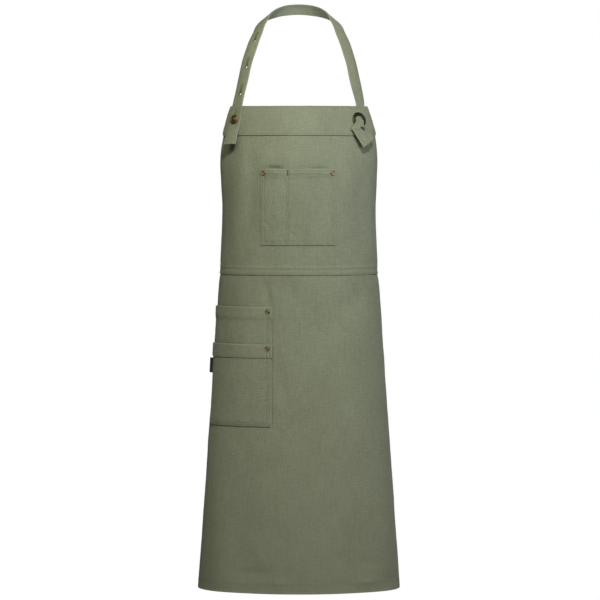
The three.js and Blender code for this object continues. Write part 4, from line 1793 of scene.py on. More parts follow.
@dataclass
class NeckStrap:
    """The neck strap: buttoned at one end, round the neck, and gathered through the eyelet at the other."""

    shop: Workshop
    width: float = 25.0
    thick: float = 2.0
    step: float = 2.4
    crown: float = 1.5
    eye: float = 3.2
    slit: float = 0.8
    slit_length: float = 19.0
    first_hole: float = 48.5
    spacing: float = 55.0
    free_holes: int = 3
    aside: float = -3.0
    button_row: int = 2
    button_flat: float = 17.0
    margin: float = 2.8
    groove: float = 0.16
    groove_width: float = 0.8
    pleat: float = 1.5
    pleat_turns: float = 3.2
    wave: float = 0.45
    wave_pitch: float = 34.0
    wave_spread: float = 0.7
    curl: float = 0.5
    curl_pitch: float = 60.0
    seeds: tuple[int, int] = (61, 62)
    tool_depth: float = 6.0
    hole_sharp: float = 55.0
    stitch_gap: float = 0.75
    stitch_inner: Pair = (-0.8, -0.6)
    stitch_outer: Pair = (0.9, 2.2)
    stitch_points: int = 60
    stitch_clear: float = 0.02
    hole_middle: float = 6.0
    row_start: float = 3.0
    row_step: float = 1.2
    tail_row: float = 4.0
    tail_reach: float = 9.4
    tail_points: int = 20
    neck_rows: tuple[NeckRow, ...] = (
        NeckRow(0, 1, 0.3, 0, 0.75, 0.66),
        NeckRow(24.8, -4, -1.8, 0.3, 0.7, 0.65),
        NeckRow(42, -19, -6.6, 0.46, 0.6, 0.65),
        NeckRow(53.8, -38, -12.8, 0.5, 0.48, 0.72),
        NeckRow(60.2, -48, -17, 0.66, 0, 0.75),
        NeckRow(65.7, -54, -23.4, 0.64, -0.33, 0.69),
        NeckRow(72.8, -63, -34.2, 0.62, -0.55, 0.56),
        NeckRow(77.2, -73, -46.2, 0.62, -0.7, 0.37),
        NeckRow(85.5, -87, -67, 0.6, -0.76, 0.26),
        NeckRow(97, -102, -104, 0.62, -0.75, 0.22),
        NeckRow(105, -113, -141, 0.63, -0.74, 0.2),
    )
    buttoned_rows: tuple[StrapRow, ...] = (
        StrapRow(-113.4, 178, 6.6, -0.3, 23.5, 2),
        StrapRow(-118.8, 196, 4.6, -0.05, 25, 2),
        StrapRow(-122.6, 210, 4.1, 0, 25, 2),
        StrapRow(-124, 219.5, 4.25, 0, 25, 2),
        StrapRow(-124.6, 228, 6.8, 0.1, 25, 2),
        StrapRow(-125.4, 241, 11.4, 0.22, 25, 2),
        StrapRow(-126, 257.2, 16.4, 0.3, 25, 2),
    )
    knotted_rows: tuple[StrapRow, ...] = (
        StrapRow(120.8, 174, -4.4, 0, 19.5, 2.2),
        StrapRow(122.6, 186, -5.6, 0, 17.2, 2.6),
        StrapRow(118.4, 197, -8, 0, 13.4, 3.2),
        StrapRow(115.2, 204, -7.6, 0, 11, 3.4),
        StrapRow(115.2, 210.5, 0, 0, 12, 3.4),
        StrapRow(114.8, 214.5, 5.4, 0, 13, 3),
        StrapRow(114.2, 220, 7.8, 0, 15, 2.6),
    )

    def __post_init__(self) -> None:
        """Set the strap's line from its stations."""
        buttoned = [self._cloth_station(row) for row in reversed(self.buttoned_rows)]
        rising = [self._neck_station(row, Side.LEFT) for row in reversed(self.neck_rows)]
        falling = [self._neck_station(row, Side.RIGHT) for row in self.neck_rows[1:]]
        knotted = [self._cloth_station(row) for row in self.knotted_rows]
        rows = np.array(buttoned + rising + falling + knotted)
        run = lengths_along(rows[:, :3])
        self.line = SmoothTable(np.column_stack([run, rows]))
        self.length = float(run[-1])
        self.button_at = float(run[len(self.buttoned_rows) - 1 - self.button_row])
        self.knot_from = float(run[len(buttoned) + len(rising) + len(falling)])

    def _cloth_station(self, row: StrapRow) -> list[float]:
        """Set a station on the cloth.

        Args:
            row: the station's row.

        Returns:
            Point, face, width and thickness.
        """
        form = self.shop.form
        point = form.place(row.u, row.drop, row.lift)
        face = form.normal(row.u, row.drop) * (1 - row.front) + np.array([0, -row.front, 0])
        return [*point, *unit(face), row.width, row.thick]

    def _neck_station(self, row: NeckRow, side: Side) -> list[float]:
        """Point, face, width and thickness of a station on one side of the neck loop."""
        face = unit(np.array([side.value * row.face_x, row.face_y, row.face_z]))
        return [side.value * row.x, row.y, row.z, *face, self.width, self.thick]

    def frames(self, where: Array) -> tuple[Array, Array, Array, Array, Array]:
        """Frames along the strap.

        Args:
            where: lengths along the strap.

        Returns:
            Points, directions across and outwards, widths and thicknesses.
        """
        values = self.line.at(where)
        ahead = self.line.at(np.minimum(where + 1, self.length))[..., :3]
        behind = self.line.at(np.maximum(where - 1, 0))[..., :3]
        along = unit(ahead - behind)
        across = unit(np.cross(values[..., 3:6], along))
        return values[..., :3], across, np.cross(along, across), values[..., 6], values[..., 7]

    def arch(self, run: Array, share: Array) -> Array:
        """How far the strap's section stands out of its line: an arch, flat at the button, and waves.

        Args:
            run: lengths along the strap.
            share: places across it, from -1 to 1.

        Returns:
            The stand-off.
        """
        flat = np.exp(-(((run - self.button_at) / self.button_flat) ** 2))
        crown = self.crown * (1 - share**2) * (1 - flat)
        waves, curls = (Unevenness(seed) for seed in self.seeds)
        wave = waves.at(run / self.wave_pitch, share * self.wave_spread) * self.wave
        curl = self.curl * share**2 * curls.at(run / self.curl_pitch, run * 0)
        return crown + wave + curl

    def band(self) -> Shape:
        """The strap's cloth, with pillowed edges, sewn margins and pleats where it is gathered.

        Returns:
            The closed shape.
        """
        run = stations([0, self.length], self.step, edge=self.thick / 2)
        points, across, out, width, thick = self.frames(run)
        even = np.linspace(-1, 1, 15)
        edge = np.array([0.86, 0.925, 0.965, 0.99])
        share = np.unique(np.concatenate([even, edge, -edge, [-0.78, 0.78]]))
        inset = (1 - np.abs(share)) * self.width / 2
        ends = eased(from_ends(run), self.thick / 2)[:, None]
        groove = self.groove * np.exp(-((inset - self.margin) / self.groove_width) ** 2)
        half = (thick[:, None] / 2 - groove) * eased(inset, 1.0)[None, :] * ends
        gather = np.clip((self.width - width) / self.width, 0, 1)[:, None]
        pleat = gather * self.pleat * np.cos(share * self.pleat_turns * math.pi)[None, :]
        arch = self.arch(*np.broadcast_arrays(run[:, None], share[None, :]))
        centre = points[:, None] + share[None, :, None] * width[:, None, None] / 2 * across[:, None]
        lifted = (pleat + arch * (1 - gather))[..., None] * out[:, None]
        upper = centre + lifted + half[..., None] * out[:, None]
        lower = centre + lifted - half[..., None] * out[:, None]
        rings = both_faces(upper, lower)
        place_across = np.broadcast_to(share * self.width / 2, (len(run), len(share)))
        wide = both_faces(place_across, place_across)
        cloth = np.stack([wide, np.broadcast_to(run[:, None], wide.shape)], axis=-1).reshape(-1, 2)
        rub = np.maximum(np.exp(-inset / STRAP_RUB)[None, :], np.exp(-from_ends(run) / PANEL_RUB)[:, None])
        faces = wall_faces(len(run), len(share))
        return Shape(rings.reshape(-1, 3), faces, cloth, both_faces(rub, rub).ravel())

    def keyhole(
        self, aside: float, eye_grow: float = 0.0, slit_grow: float = 0.0, count: int = 30
    ) -> Array:
        """Outline of a buttonhole: a round eye towards the buttoned end and a slit away from it.

        Args:
            aside: distance of the eye's middle from the strap's middle line.
            eye_grow, slit_grow: distances by which eye and slit are let out.
            count: points round the eye.

        Returns:
            Distances across and along the strap from the hole's place.
        """
        eye = self.eye + eye_grow
        slit = self.slit + slit_grow
        opening = math.asin(slit / eye)
        turn = np.linspace(math.pi / 2 + opening, 2.5 * math.pi - opening, count)
        outline = np.stack([eye * np.cos(turn), eye * np.sin(turn)], axis=-1)
        top = self.slit_length + slit_grow
        return np.concatenate([outline, [[slit, top], [-slit, top]]]) + [aside, 0]

    def on_face(self, where: float, outline: Array, height: float) -> tuple[Array, Array]:
        """Points and outward directions of an outline at a length and height on the strap."""
        points, across, out, _, _ = self.frames(where + outline[:, 1])
        return points + outline[:, :1] * across + height * out, out

    def holes(self) -> list[Pair]:
        """Places of the buttonholes, the used one first.

        Returns:
            Length along the strap and distance from its middle line, for each.
        """
        start = self.button_at + self.first_hole
        free = [start + self.spacing * number for number in range(self.free_holes)]
        return [(self.button_at, 0.0), *((where, self.aside) for where in free)]

    def cut_buttonholes(self, strap: Object) -> None:
        """Cut the buttonholes through the strap.

        Args:
            strap: the strap's piece.
        """
        for where, aside in self.holes():
            outline = self.keyhole(aside)
            upper, _ = self.on_face(where, outline, self.tool_depth)
            lower, _ = self.on_face(where, outline, -self.tool_depth)
            count = len(outline)
            walls = ring_quads(count, 0, 1).tolist()
            mesh = bpy.data.meshes.new("buttonhole_tool")
            rims = [list(range(count - 1, -1, -1)), list(range(count, 2 * count))]
            mesh.from_pydata((np.concatenate([upper, lower]) * MM).tolist(), [], walls + rims)
            tool = add_object("buttonhole_tool", mesh)
            cut = strap.modifiers.new("buttonhole", "BOOLEAN")
            cut.operation = "DIFFERENCE"
            cut.solver = "EXACT"
            cut.object = tool
            graph = bpy.context.evaluated_depsgraph_get()
            done = bpy.data.meshes.new_from_object(strap.evaluated_get(graph))
            strap.modifiers.clear()
            old = strap.data
            strap.data = done
            bpy.data.meshes.remove(old)
            bpy.data.objects.remove(tool)
            bpy.data.meshes.remove(mesh)
        work = bmesh.new()
        work.from_mesh(strap.data)
        bmesh.ops.triangulate(work, faces=[face for face in work.faces if len(face.verts) > 4])
        work.to_mesh(strap.data)
        work.free()

    def buttonhole_stitching(self) -> Object:
        """Sew close stitches round the buttonholes on both faces.

        Returns:
            The stitching.
        """
        sewing = Stitching(radius=FINE_THREAD)
        for where, aside in self.holes():
            for face in (1, -1):
                inner = self._spaced(self.keyhole(aside, *self.stitch_inner, self.stitch_points))
                outer = self.keyhole(aside, *self.stitch_outer, self.stitch_points)
                outer = self._spaced(outer, len(inner))
                share = np.full(1, aside / (self.width / 2))
                arch = float(self.arch(np.full(1, where + self.hole_middle), share)[0])
                height = arch + face * (self.thick / 2 + self.stitch_clear)
                start, out = self.on_face(where, inner, height)
                end, _ = self.on_face(where, outer, height)
                sewing.stitches(start, end, face * out)
        return sewing.piece(self.shop, "buttonhole_stitching", self.shop.buttonhole_thread)

    def _spaced(self, outline: Array, count: int | None = None) -> Array:
        """Space points evenly round a closed outline.

        Args:
            outline: points of the outline.
            count: number of points, where the stitches' own gap doesn't set it.

        Returns:
            The points.
        """
        closed = np.concatenate([outline, outline[:1]])
        length = float(np.linalg.norm(np.diff(closed, axis=0), axis=1).sum())
        number = count or int(length / self.stitch_gap)
        return along_path(closed, np.arange(number) * length / number)

    def edge_stitching(self) -> Object:
        """Sew a row along each edge and across the tail, on both faces.

        Returns:
            The stitching.
        """
        sewing = Stitching(radius=FINE_THREAD)
        run = np.arange(self.row_start, self.knot_from, self.row_step)
        points, across, out, width, thick = self.frames(run)
        for face in (1, -1):
            for side in (-1, 1):
                share = side * (1 - 2 * self.margin / self.width)
                lift = self.arch(run, np.full(len(run), share))
                rows = points + (share * width / 2)[:, None] * across
                height = lift + face * (thick / 2 - THREAD_SUNK)
                sewing.row(rows + height[:, None] * out, face * out)
            across_tail = np.linspace(-self.tail_reach, self.tail_reach, self.tail_points)
            ends = np.stack([across_tail, np.zeros(self.tail_points)], axis=-1)
            line, normals = self.on_face(self.tail_row, ends, face * (self.thick / 2 - THREAD_SUNK))
            lift = self.arch(np.full(self.tail_points, self.tail_row), across_tail / (self.width / 2))
            sewing.row(line + lift[:, None] * normals, face * normals)
        return sewing.piece(self.shop, "strap_stitching", self.shop.thread)

    def build(self) -> Object:
        """Build the strap, its stitching and its knot.

        Returns:
            The strap.
        """
        strap = self.shop.canvas_piece("strap_cloth", self.band())
        self.cut_buttonholes(strap)
        strap.data.set_sharp_from_angle(angle=math.radians(self.hole_sharp))
        added = [self.buttonhole_stitching(), self.edge_stitching(), *StrapKnot(self.shop).build()]
        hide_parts("neck_strap")
        flat = (self.width * MM, self.length * MM)
        return strap


@dataclass
class StrapKnot:
    """The knot in front of the eyelet: a pleated fan that comes out of it, and a creased tail below."""

    shop: Workshop
    fan_rows: tuple[FanRow, ...] = (
        FanRow(0.0, 115.2, 206.0, -2.0, 5.2),
        FanRow(0.14, 115.1, 208.6, 3.0, 6.4),
        FanRow(0.34, 114.4, 213.0, 8.0, 7.4),
        FanRow(0.56, 112.9, 218.5, 11.0, 9.4),
        FanRow(0.8, 111.4, 225.0, 12.4, 13.2),
        FanRow(1.0, 110.8, 230.6, 12.2, 15.4),
    )
    top_left: Corner = Corner(95.5, 226.5, 7.4)
    top_right: Corner = Corner(127.4, 228.5, 6.4)
    end_right: Corner = Corner(141.4, 243.0, 12.6)
    end_left: Corner = Corner(117.8, 263.0, 14.6)
    ridge_at: float = 0.46
    crease: float = 4.8
    thick: float = 2.0
    length: float = 36.0
    width: float = 26.0
    down_step: float = 1.6
    side_step: float = 1.3
    hump_at: float = 0.55
    top_hump: float = 2.0
    top_dip: float = 3.2
    sag: float = 0.7
    notch: float = 0.9
    notch_at: Pair = (0.3, 0.42)
    notch_reach: Pair = (0.09, 0.1)
    fan_length: float = 30.0
    fan_width: float = 32.0
    fan_step: float = 0.9
    fan_edge: float = 1.1
    pleats: float = 3.5
    dome: Pair = (1.6, 3.2)
    lip: float = 1.8
    corner_up: float = 5.2
    corner_out: float = 1.4
    margin: float = 2.8
    groove: float = 0.2
    groove_width: float = 0.8

    def tail_place(self, side: Array, down: Array) -> tuple[Array, Array, Array]:
        """Places of the tail's middle face.

        Args:
            side, down: distances from its left edge and below its top.

        Returns:
            u, drop and lift.
        """
        s = side / self.width
        t = down / self.length
        ends = ((self.top_left, self.top_right), (self.end_left, self.end_right))
        upper, lower = ([a + (b - a) * s for a, b in zip(left, right)] for left, right in ends)
        u, drop, lift = (a + (b - a) * t for a, b in zip(upper, lower))
        hump = self.top_hump * np.exp(-(((s - self.hump_at) / 0.2) ** 2))
        drop = drop + (self.top_dip * smooth_step(s, self.hump_at, 0.95) - hump) * (1 - t) ** 2
        side_of_ridge = np.where(s < self.ridge_at, self.ridge_at - s, s - self.ridge_at)
        side_of_ridge = side_of_ridge / np.where(s < self.ridge_at, self.ridge_at, 1 - self.ridge_at)
        ridge = self.crease * (1 - np.sqrt(side_of_ridge**2 + 0.004)) * (0.3 + 0.7 * t)
        sag = self.sag * np.sin(math.pi * t) * np.sin(2 * math.pi * s)
        (at_s, at_t), (reach_s, reach_t) = self.notch_at, self.notch_reach
        notch = self.notch * np.exp(-(((s - at_s) / reach_s) ** 2) - ((t - at_t) / reach_t) ** 2)
        return u, drop, lift + self.thick / 2 + ridge + sag - notch

    def tail(self) -> Shape:
        """The strip below the knot, creased down its length.

        Returns:
            The closed shape.
        """
        half = self.thick / 2
        down = stations([0, self.length], self.down_step, edge=half)
        side = stations([0, self.width], self.side_step, [self.margin, self.width / 2], edge=half)
        u, drop, middle = self.tail_place(side[:, None], down[None, :])
        groove = self.groove * np.exp(-(((from_ends(side) - self.margin) / self.groove_width) ** 2))
        thick = (half - groove[:, None]) * self._ease(side, down, half)
        return self._closed(u, drop, middle, thick, side, down)

    def fan(self) -> Shape:
        """The gathered strap: narrow and pleated in the eyelet, spread below it, with a rolled lip.

        Returns:
            The closed shape.
        """
        down = stations([0, self.fan_length], self.fan_step, edge=self.fan_edge)
        side = stations([0, self.fan_width], self.fan_step, edge=self.fan_edge)
        t = (down / self.fan_length)[None, :]
        s = (2 * side / self.fan_width - 1)[:, None]
        rows = SmoothTable(self.fan_rows).at(t[0])
        middle_u, middle_drop, middle_lift, half_width = (column[None, :] for column in rows.T)
        raised = smooth_step(s, 0.0, 0.24) * (1 - 0.85 * smooth_step(s, 0.2, 1.0)) * t**4
        u = middle_u + s * half_width
        drop = middle_drop - self.corner_up * raised + (np.cos((s + 0.3) * 0.7 * math.pi) - 0.4) * t**3
        pleats = (1.0 - 0.55 * t) * np.cos(s * self.pleats * math.pi + 0.7) * smooth_step(t, 0.02, 0.3)
        first, more = self.dome
        dome = -(first + more * smooth_step(t, 0.3, 0.8)) * s**2
        lip = self.lip * smooth_step(t, 0.9, 1.03)
        middle = middle_lift + dome + pleats - lip + self.corner_out * raised
        half = self.thick / 2 * self._ease(side, down, self.fan_edge)
        return self._closed(u, drop, middle, half, side, down)

    @staticmethod
    def _ease(side: Array, down: Array, reach: float) -> Array:
        """Share of the full thickness on a strip whose four edges are round."""
        return eased(from_ends(down), reach)[None, :] * eased(from_ends(side), reach)[:, None]

    def _closed(self, u: Array, drop: Array, middle: Array, half: Array, side: Array, down: Array) -> Shape:
        """A closed wall from its places and thickness.

        Args:
            u, drop: places on the cloth, one row for each column of the strip.
            middle: lift of the strip's middle.
            half: half thickness.
            side, down: positions across and down the strip.

        Returns:
            The closed shape.
        """
        u, drop, middle, half = np.broadcast_arrays(u, drop, middle, half)
        outer = self.shop.form.place(u, drop, middle + half)
        inner = self.shop.form.place(u, drop, middle - half)
        points = both_faces(outer, inner).reshape(-1, 3)
        places = np.stack(np.broadcast_arrays(side[:, None], down[None, :]), axis=-1)
        cloth = both_faces(places, places).reshape(-1, 2)
        rub = np.exp(-np.minimum(from_ends(side)[:, None], from_ends(down)[None, :]) / STRAP_RUB)
        return Shape(points, wall_faces(len(side), len(down)), cloth, both_faces(rub, rub).ravel())

    def build(self) -> list[Object]:
        """Build the knot and its stitching.

        Returns:
            The knot and the stitching.
        """
        form = self.shop.form
        shape = Shape.joined([self.fan(), self.tail()])
        knot = self.shop.canvas_piece("strap_knot", shape)
        sewing = Stitching(radius=FINE_THREAD)
        down = np.arange(5.0, self.length - self.margin, 1.0)
        for inset in (self.margin, self.width - self.margin):
            u, drop, lift = self.tail_place(np.full(len(down), inset), down)
            sewing.row(form.place(u, drop, lift + self.thick / 2 - THREAD_SUNK), form.normal(u, drop))
        return [knot, sewing.piece(self.shop, "knot_stitching", self.shop.thread)]


@dataclass
class SideLabel:
    """A plain folded tab at the side pocket's left edge."""

    shop: Workshop
    root: float = -191.3
    top: float = 652.8
    height: float = 28.0
    reach: float = 8.6
    stand_off: float = 5.4
    thick: float = 1.3
    tape_share: float = 0.42
    root_lift: float = 1.9
    step: float = 0.8
    down_step: float = 1.4
    wave: float = 0.35
    wave_pitch: float = 11.0
    seed: int = 71
    bend: float = 0.9
    curve: float = 1.3
    rub: float = 0.6

    def build(self) -> Object:
        """Build the tab as a strip that is folded at its free end.

        Returns:
            The tab.
        """
        tape = self.thick * self.tape_share
        turn = (self.thick - tape) / 2
        corners = np.concatenate([
            [[0.0, turn]],
            half_turn(self.reach - turn - tape / 2, 0.0, turn, 90, -180, 9),
            [[0.0, -turn]],
        ])
        path = along_path(corners, stations(corners, self.step, edge=tape / 2))
        way = unit(np.gradient(path, axis=0))
        left = np.stack([-way[:, 1], way[:, 0]], axis=-1)
        down = stations([0, self.height], self.down_step, edge=tape / 2)
        ease = eased(from_ends(down), tape / 2)[:, None, None] * tape / 2
        right_side = path[None] - left[None] * ease
        left_side = path[None] + left[None] * ease
        both = both_faces(right_side, left_side)
        drop = np.broadcast_to(self.top + down[:, None], both.shape[:2])
        out = np.clip(both[..., 0] / self.reach, 0, 1)
        wavy = self.wave * Unevenness(self.seed).at(down / self.wave_pitch, down * 0)[:, None] * out
        lift = self.root_lift + self.thick / 2 + self.stand_off * out**self.curve + both[..., 1] + wavy
        bent = self.bend * np.sin(2 * math.pi * (down / self.height + 0.2))[:, None] * out
        points = self.shop.form.place(self.root - both[..., 0] + bent, drop, lift).reshape(-1, 3)
        run = np.concatenate([np.arange(len(path)), np.arange(len(path))[::-1]]) * self.step
        cloth = np.stack([np.broadcast_to(run, drop.shape), drop], axis=-1).reshape(-1, 2)
        shape = Shape(points, wall_faces(len(down), len(path)), cloth, self.rub * out.ravel() ** 4)
        tab = self.shop.make("label_tab", shape.mesh("label_tab"), self.shop.label, Slot.LABEL)
        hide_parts("side_label")
        return tab


@dataclass
class TurnedPiece:
    """A round metal piece that is seated on the cloth. Its profile has rows of radius and lift."""

    shop: Workshop
    name: str
    node: str
    place: Place
    material: Material
    slot: Slot
    profile: Sequence[Pair]
    sides: int = 56
    rounding: int = 2
    corner_cut: float = 0.22
    rub: float = 0.5
    sharp: float = 50.0

    def outline(self) -> Array:
        """The profile with its corners cut round.

        Returns:
            Rows of radius and lift.
        """
        near, far = 1 - self.corner_cut, self.corner_cut
        rows = [np.array(row, float) for row in self.profile]
        for _ in range(self.rounding):
            cut: list[Array] = []
            for here, then in zip(rows, rows[1:] + rows[:1]):
                first = here if here[0] == 0 else near * here + far * then
                second = then if then[0] == 0 else far * here + near * then
                for row in (first, second):
                    if not cut or np.abs(cut[-1] - row).max() > SAME:
                        cut.append(row)
            if np.abs(cut[-1] - cut[0]).max() < SAME:
                cut.pop()
            rows = cut
        return np.array(rows)

    def build(self) -> Object:
        """Turn the profile and seat it.

        Returns:
            The piece.
        """
        form = self.shop.form
        rows = self.outline()
        turn = np.arange(self.sides) * 2 * math.pi / self.sides
        out = form.normal(self.place.u, self.place.drop)
        across = unit(np.cross([0, 0, 1.0], out) * -1)
        up = np.cross(out, across)
        seat = form.place(self.place.u, self.place.drop, 0.0)
        ring = np.cos(turn)[:, None] * across + np.sin(turn)[:, None] * up
        points = seat + rows[:, None, :1] * ring[None] + rows[:, None, 1:] * out
        count = len(rows)
        faces = []
        for i in range(count):
            j = (i + 1) % count
            if max(rows[i, 0], rows[j, 0]) >= SAME:
                faces.extend(tuple(face) for face in ring_quads(self.sides, i, j).tolist())
        rim, proud = (np.exp(-(column.max() - column) / self.rub) for column in rows.T)
        wear = np.repeat(np.maximum(proud, 0.3 * rim), self.sides)
        cloth = np.stack([np.repeat(rows[:, 0], self.sides), np.tile(turn * 4, count)], axis=-1)
        mesh = Shape(points.reshape(-1, 3), faces, cloth, wear).mesh(self.name, self.sharp)
        piece = self.shop.make(self.name, mesh, self.material, self.slot)
        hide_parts(self.node)
        return piece


@dataclass
class Studio:
    """Camera, floor and lights."""

    camera_place: Point = (0.00184, -6.18, -0.293)
    camera_tilt: float = 2.3707
    lens: float = 195.654
    sensor: float = 36.0
    floor_drop: float = 1.45
    floor_radius: float = 2.3
    floor_sides: int = 96
    aim: Point = (0.0, -0.15, -0.45)
    lights: tuple[LightRow, ...] = (
        LightRow("key", (0.3, -2.4, 1.5), 0.28, 44.8, (1.08, 0.995, 0.91)),
        LightRow("top", (-0.6, -1.0, 0.6), 0.7, 3.6, (1.08, 1.155, 0.695)),
        LightRow("side", (0.55, -0.8, -0.1), 0.35, 2.07, (0.9, 1.035, 1.08)),
        LightRow("back", (0.5, 2.2, 1.2), 1.5, 45.0, (1.0, 1.0, 1.0)),
    )
    neck_lamp: Point = (0.0, -2.0, -0.95)
    neck_aim: Point = (0.0, -0.03, -0.02)
    neck_power: float = 68.0
    neck_cone: float = 6.6
    neck_blend: float = 0.9
    neck_softness: float = 0.05
    ambient: float = 0.012
    ambient_tint: Colour = (1.0, 0.97, 0.72)

    def camera(self) -> None:
        """Make the camera at the photograph's viewing angle."""
        data = bpy.data.cameras.new("camera")
        data.lens = self.lens
        data.sensor_width = self.sensor
        camera = add_object("camera", data)
        camera.location = self.camera_place
        camera.rotation_euler = (math.radians(90 - self.camera_tilt), 0, 0)
        bpy.context.scene.camera = camera

    def floor(self) -> None:
        """Make a round pale floor below the hem."""
        turn = np.linspace(0, 2 * math.pi, self.floor_sides, endpoint=False)
        rim = np.stack([np.cos(turn), np.sin(turn), turn], axis=-1) * self.floor_radius
        rim[:, 2] = -self.floor_drop
        mesh = bpy.data.meshes.new("floor")
        mesh.from_pydata(rim.tolist(), [], [tuple(range(self.floor_sides))])
        mesh.materials.append(FloorFinish().material())
        floor = add_object("floor", mesh)

    def light(self, row: LightRow) -> None:
        """Make a light that looks at the middle of the apron.

        Args:
            row: the light's row.
        """
        data = bpy.data.lights.new(row.name, "AREA")
        data.color = row.tint
        data.size = row.size
        data.energy = row.power
        self._hang(data, row.place, self.aim)

    def neck_light(self) -> None:
        """Make a narrow lamp that lights the inside of the neck loop from below."""
        data = bpy.data.lights.new("neck", "SPOT")
        data.energy = self.neck_power
        data.spot_size = math.radians(self.neck_cone)
        data.spot_blend = self.neck_blend
        data.shadow_soft_size = self.neck_softness
        self._hang(data, self.neck_lamp, self.neck_aim)

    @staticmethod
    def _hang(data: Light, place: Sequence[float], aim: Sequence[float]) -> None:
        """Put a light in its place and turn it to its aim.

        Args:
            data: the light.
            place: where it stands.
            aim: the point that it looks at.
        """
        lamp = add_object(data.name, data)
        lamp.location = place
        way = Vector(aim) - Vector(place)
        lamp.rotation_euler = way.to_track_quat("-Z", "Y").to_euler()

    def surroundings(self) -> None:
        """Make the surroundings white to the camera and a faint warm light for the cloth."""
        world = bpy.data.worlds.new("studio")
        world.use_nodes = True
        bench = Bench(world.node_tree)
        seen = bench.node("ShaderNodeLightPath").outputs["Is Camera Ray"]
        soft, white = (
            bench.node("ShaderNodeBackground", sockets={"Color": (*tint, 1), "Strength": strength})
            for tint, strength in ((self.ambient_tint, self.ambient), ((1, 1, 1), 1.0))
        )
        both = bench.node("ShaderNodeMixShader", sockets={0: seen, 1: soft.outputs[0], 2: white.outputs[0]})
        bench.node("ShaderNodeOutputWorld", sockets={"Surface": both.outputs[0]})
        bpy.context.scene.world = world

    def build(self) -> None:
        """Set up the whole studio."""
        self.camera()
        self.floor()
        for row in self.lights:
            self.light(row)
        self.neck_light()
        self.surroundings()
        bpy.context.scene.view_settings.view_transform = "Standard"
        bpy.context.scene.view_settings.look = "None"


def workshop() -> Workshop:
    """Make the worn form and all finishes.

    Returns:
        The workshop.
    """
    finishes = {
        "canvas": CanvasFinish(
            "canvas_cloth", pale=(0.33, 0.365, 0.27), deep=(0.19, 0.21, 0.145), worn=(0.42, 0.45, 0.35)
        ),
        "thread": ThreadFinish("sewing_thread", pale=(0.3, 0.335, 0.235), deep=(0.19, 0.21, 0.14)),
        "buttonhole_thread": ThreadFinish(
            "buttonhole_thread", pale=(0.25, 0.265, 0.16), deep=(0.16, 0.17, 0.095)
        ),
        "bar_thread": ThreadFinish("bar_thread", pale=(0.15, 0.165, 0.08), deep=(0.07, 0.08, 0.04)),
        "label": CanvasFinish(
            "label_tape", pale=(0.022, 0.022, 0.018), deep=(0.01, 0.01, 0.008), worn=(0.05, 0.05, 0.04),
            pitch=0.5,
        ),
        "brass": MetalFinish(
            "aged_brass", (0.325, 0.262, 0.157), (0.08, 0.07, 0.04), smooth=0.36, rough=0.58, tarnish=0.38
        ),
        "copper": MetalFinish(
            "copper", (0.38, 0.238, 0.142), (0.07, 0.038, 0.018), smooth=0.4, rough=0.58, tarnish=0.5
        ),
        "bronze": MetalFinish(
            "dark_bronze", (0.075, 0.075, 0.05), (0.02, 0.021, 0.013), smooth=0.36, rough=0.58, tarnish=0.5
        ),
    }
    return Workshop(WornForm(), **{name: finish.material() for name, finish in finishes.items()})


def pockets(shop: Workshop) -> list[PatchPocket]:
    """The three pockets.

    Args:
        shop: the workshop.

    Returns:
        The bib pocket, the upper side pocket and the lower side pocket.
    """
    bib = PatchPocket(
        shop, "bib_pocket_cloth", "bib_pocket",
        left=-71.2, right=68.4, top=301, bottom=440.5, hem=12, base=PATCH, slack=1.4,
        turn=PocketHem.INWARDS, flat=(0.14, 0.152), rests_on="bib_panel",
        divider=-21, seed=50, mouth_rise=2.2,
        puckers=(
            FoldRow(-58, 402, 0.9, 4, 9, -0.8),
            FoldRow(-30, 428, 0.8, 3.5, 7, -0.7),
            FoldRow(-11, 420, 0.9, 3.5, 8, -0.7),
            FoldRow(48, 406, -1.2, 4, 8, -0.8),
        ),
    )
    upper = PatchPocket(
        shop, "upper_pocket_cloth", "upper_side_pocket",
        left=-191, right=-51.4, top=555, bottom=767, hem=25, base=PATCH, slack=1.0,
        turn=PocketHem.OUTWARDS, flat=(0.14, 0.246), rests_on="skirt_panel",
        hem_overhang=2.8, step=2.6, seed=70, pressed=9.0,
    )
    lower = PatchPocket(
        shop, "lower_pocket_cloth", "lower_side_pocket",
        left=-191, right=-51.4, top=624, bottom=775.5, hem=25, base=PATCH + PLY, slack=1.0,
        turn=PocketHem.OUTWARDS, flat=(0.14, 0.177), rests_on="upper_side_pocket",
        hem_overhang=2.8, step=2.2, seed=90, bottom_dip=1.3, under=upper.slack_at,
        puckers=(
            FoldRow(-64, 690, -2.5, 6, 3, -0.9),
            FoldRow(-66, 706, -2.5, 6, 3, -0.8),
            FoldRow(-63, 730, -2.2, 6, 3, -0.8),
        ),
    )
    return [bib, upper, lower]


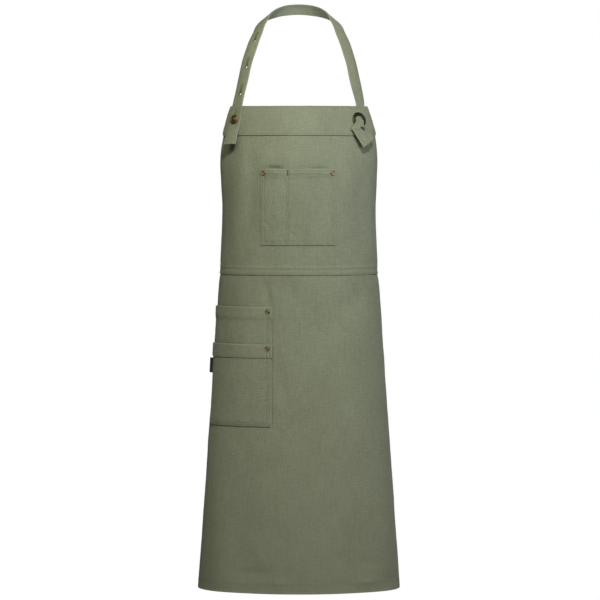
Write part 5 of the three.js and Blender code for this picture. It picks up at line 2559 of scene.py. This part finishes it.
def metal_pieces(
    shop: Workshop, bib: PatchPocket, upper: PatchPocket, lower: PatchPocket
) -> list[TurnedPiece]:
    """The button, the eyelet and the rivets.

    Args:
        shop: the workshop.
        bib, upper, lower: the pockets.

    Returns:
        The pieces.
    """
    front = CANVAS + PLY + GAP
    back = -PLY - GAP
    eyelet = [
        (8, back - 2.3), (13.5, back - 2.3), (14, back - 1.7), (13.5, back - 1.1), (9, back - 1.1),
        (9, front), (14.8, front), (14.8, front + 0.5), (13, front + 1.5), (11.2, front + 1.7),
        (8.9, front + 1.4), (8, front + 0.3),
    ]
    under = 2 * CANVAS + 3 * GAP + 2.5
    button = [
        (0, back - 1.5), (4.2, back - 1.5), (5, back - 0.9), (5, back - 0.3), (2, back - 0.3), (2, under),
        (7.8, under), (8.5, under + 0.8), (8.4, under + 1.6), (7.5, under + 2.5), (6.0, under + 3.1),
        (4.7, under + 3.3), (4.1, under + 2.8), (3.4, under + 2.9), (2.6, under + 3.6), (0, under + 3.8),
    ]
    ring_at = Place(115.2, 210.5)
    cap_at = Place(-122.6, 210)
    pieces = [
        TurnedPiece(shop, "eyelet_ring", "eyelet", ring_at, shop.bronze, Slot.BRONZE, eyelet),
        TurnedPiece(shop, "button_cap", "strap_button", cap_at, shop.copper, Slot.COPPER, button),
    ]
    rivets = (
        ("bib_rivet_left", "bib_pocket_rivet_left", Place(-64.2, 307.5), 2 * CANVAS + PATCH, bib),
        ("bib_rivet_right", "bib_pocket_rivet_right", Place(61.4, 308), 2 * CANVAS + PATCH, bib),
        ("upper_rivet", "upper_pocket_rivet", Place(-57.4, 563.5), PATCH + CANVAS + PLY, upper),
        ("lower_rivet", "lower_pocket_rivet", Place(-57.4, 631.5), PATCH + CANVAS + 2 * PLY, lower),
    )
    for name, node, place, seat, pocket in rivets:
        low = seat + GAP + float(pocket.slack_at(*place))
        profile = [
            (0, -1.7), (4, -1.7), (4, -0.9), (1.4, -0.9), (1.4, low), (4.7, low), (4.6, low + 0.7),
            (3.7, low + 1.5), (2.5, low + 0.9), (1.9, low + 0.95), (1.4, low + 1.6), (0, low + 1.7),
        ]
        pieces.append(TurnedPiece(shop, name, node, place, shop.brass, Slot.BRASS, profile, sides=40))
    return pieces


def main() -> None:
    """Build the studio and every piece of the apron, in order."""
    logging.basicConfig(level=logging.INFO, format="%(name)s %(message)s", force=True)
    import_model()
    Studio().build()
    shop = workshop()
    bib, upper, lower = pockets(shop)
    builders = [
        BibPanel(shop), SkirtPanel(shop), TopBand(shop),
        bib, upper, lower, NeckStrap(shop), SideLabel(shop),
        *metal_pieces(shop, bib, upper, lower),
    ]
    for builder in builders:
        piece = builder.build()
        LOG.info("built %s", piece.name)


if __name__ == "__main__":
    main()
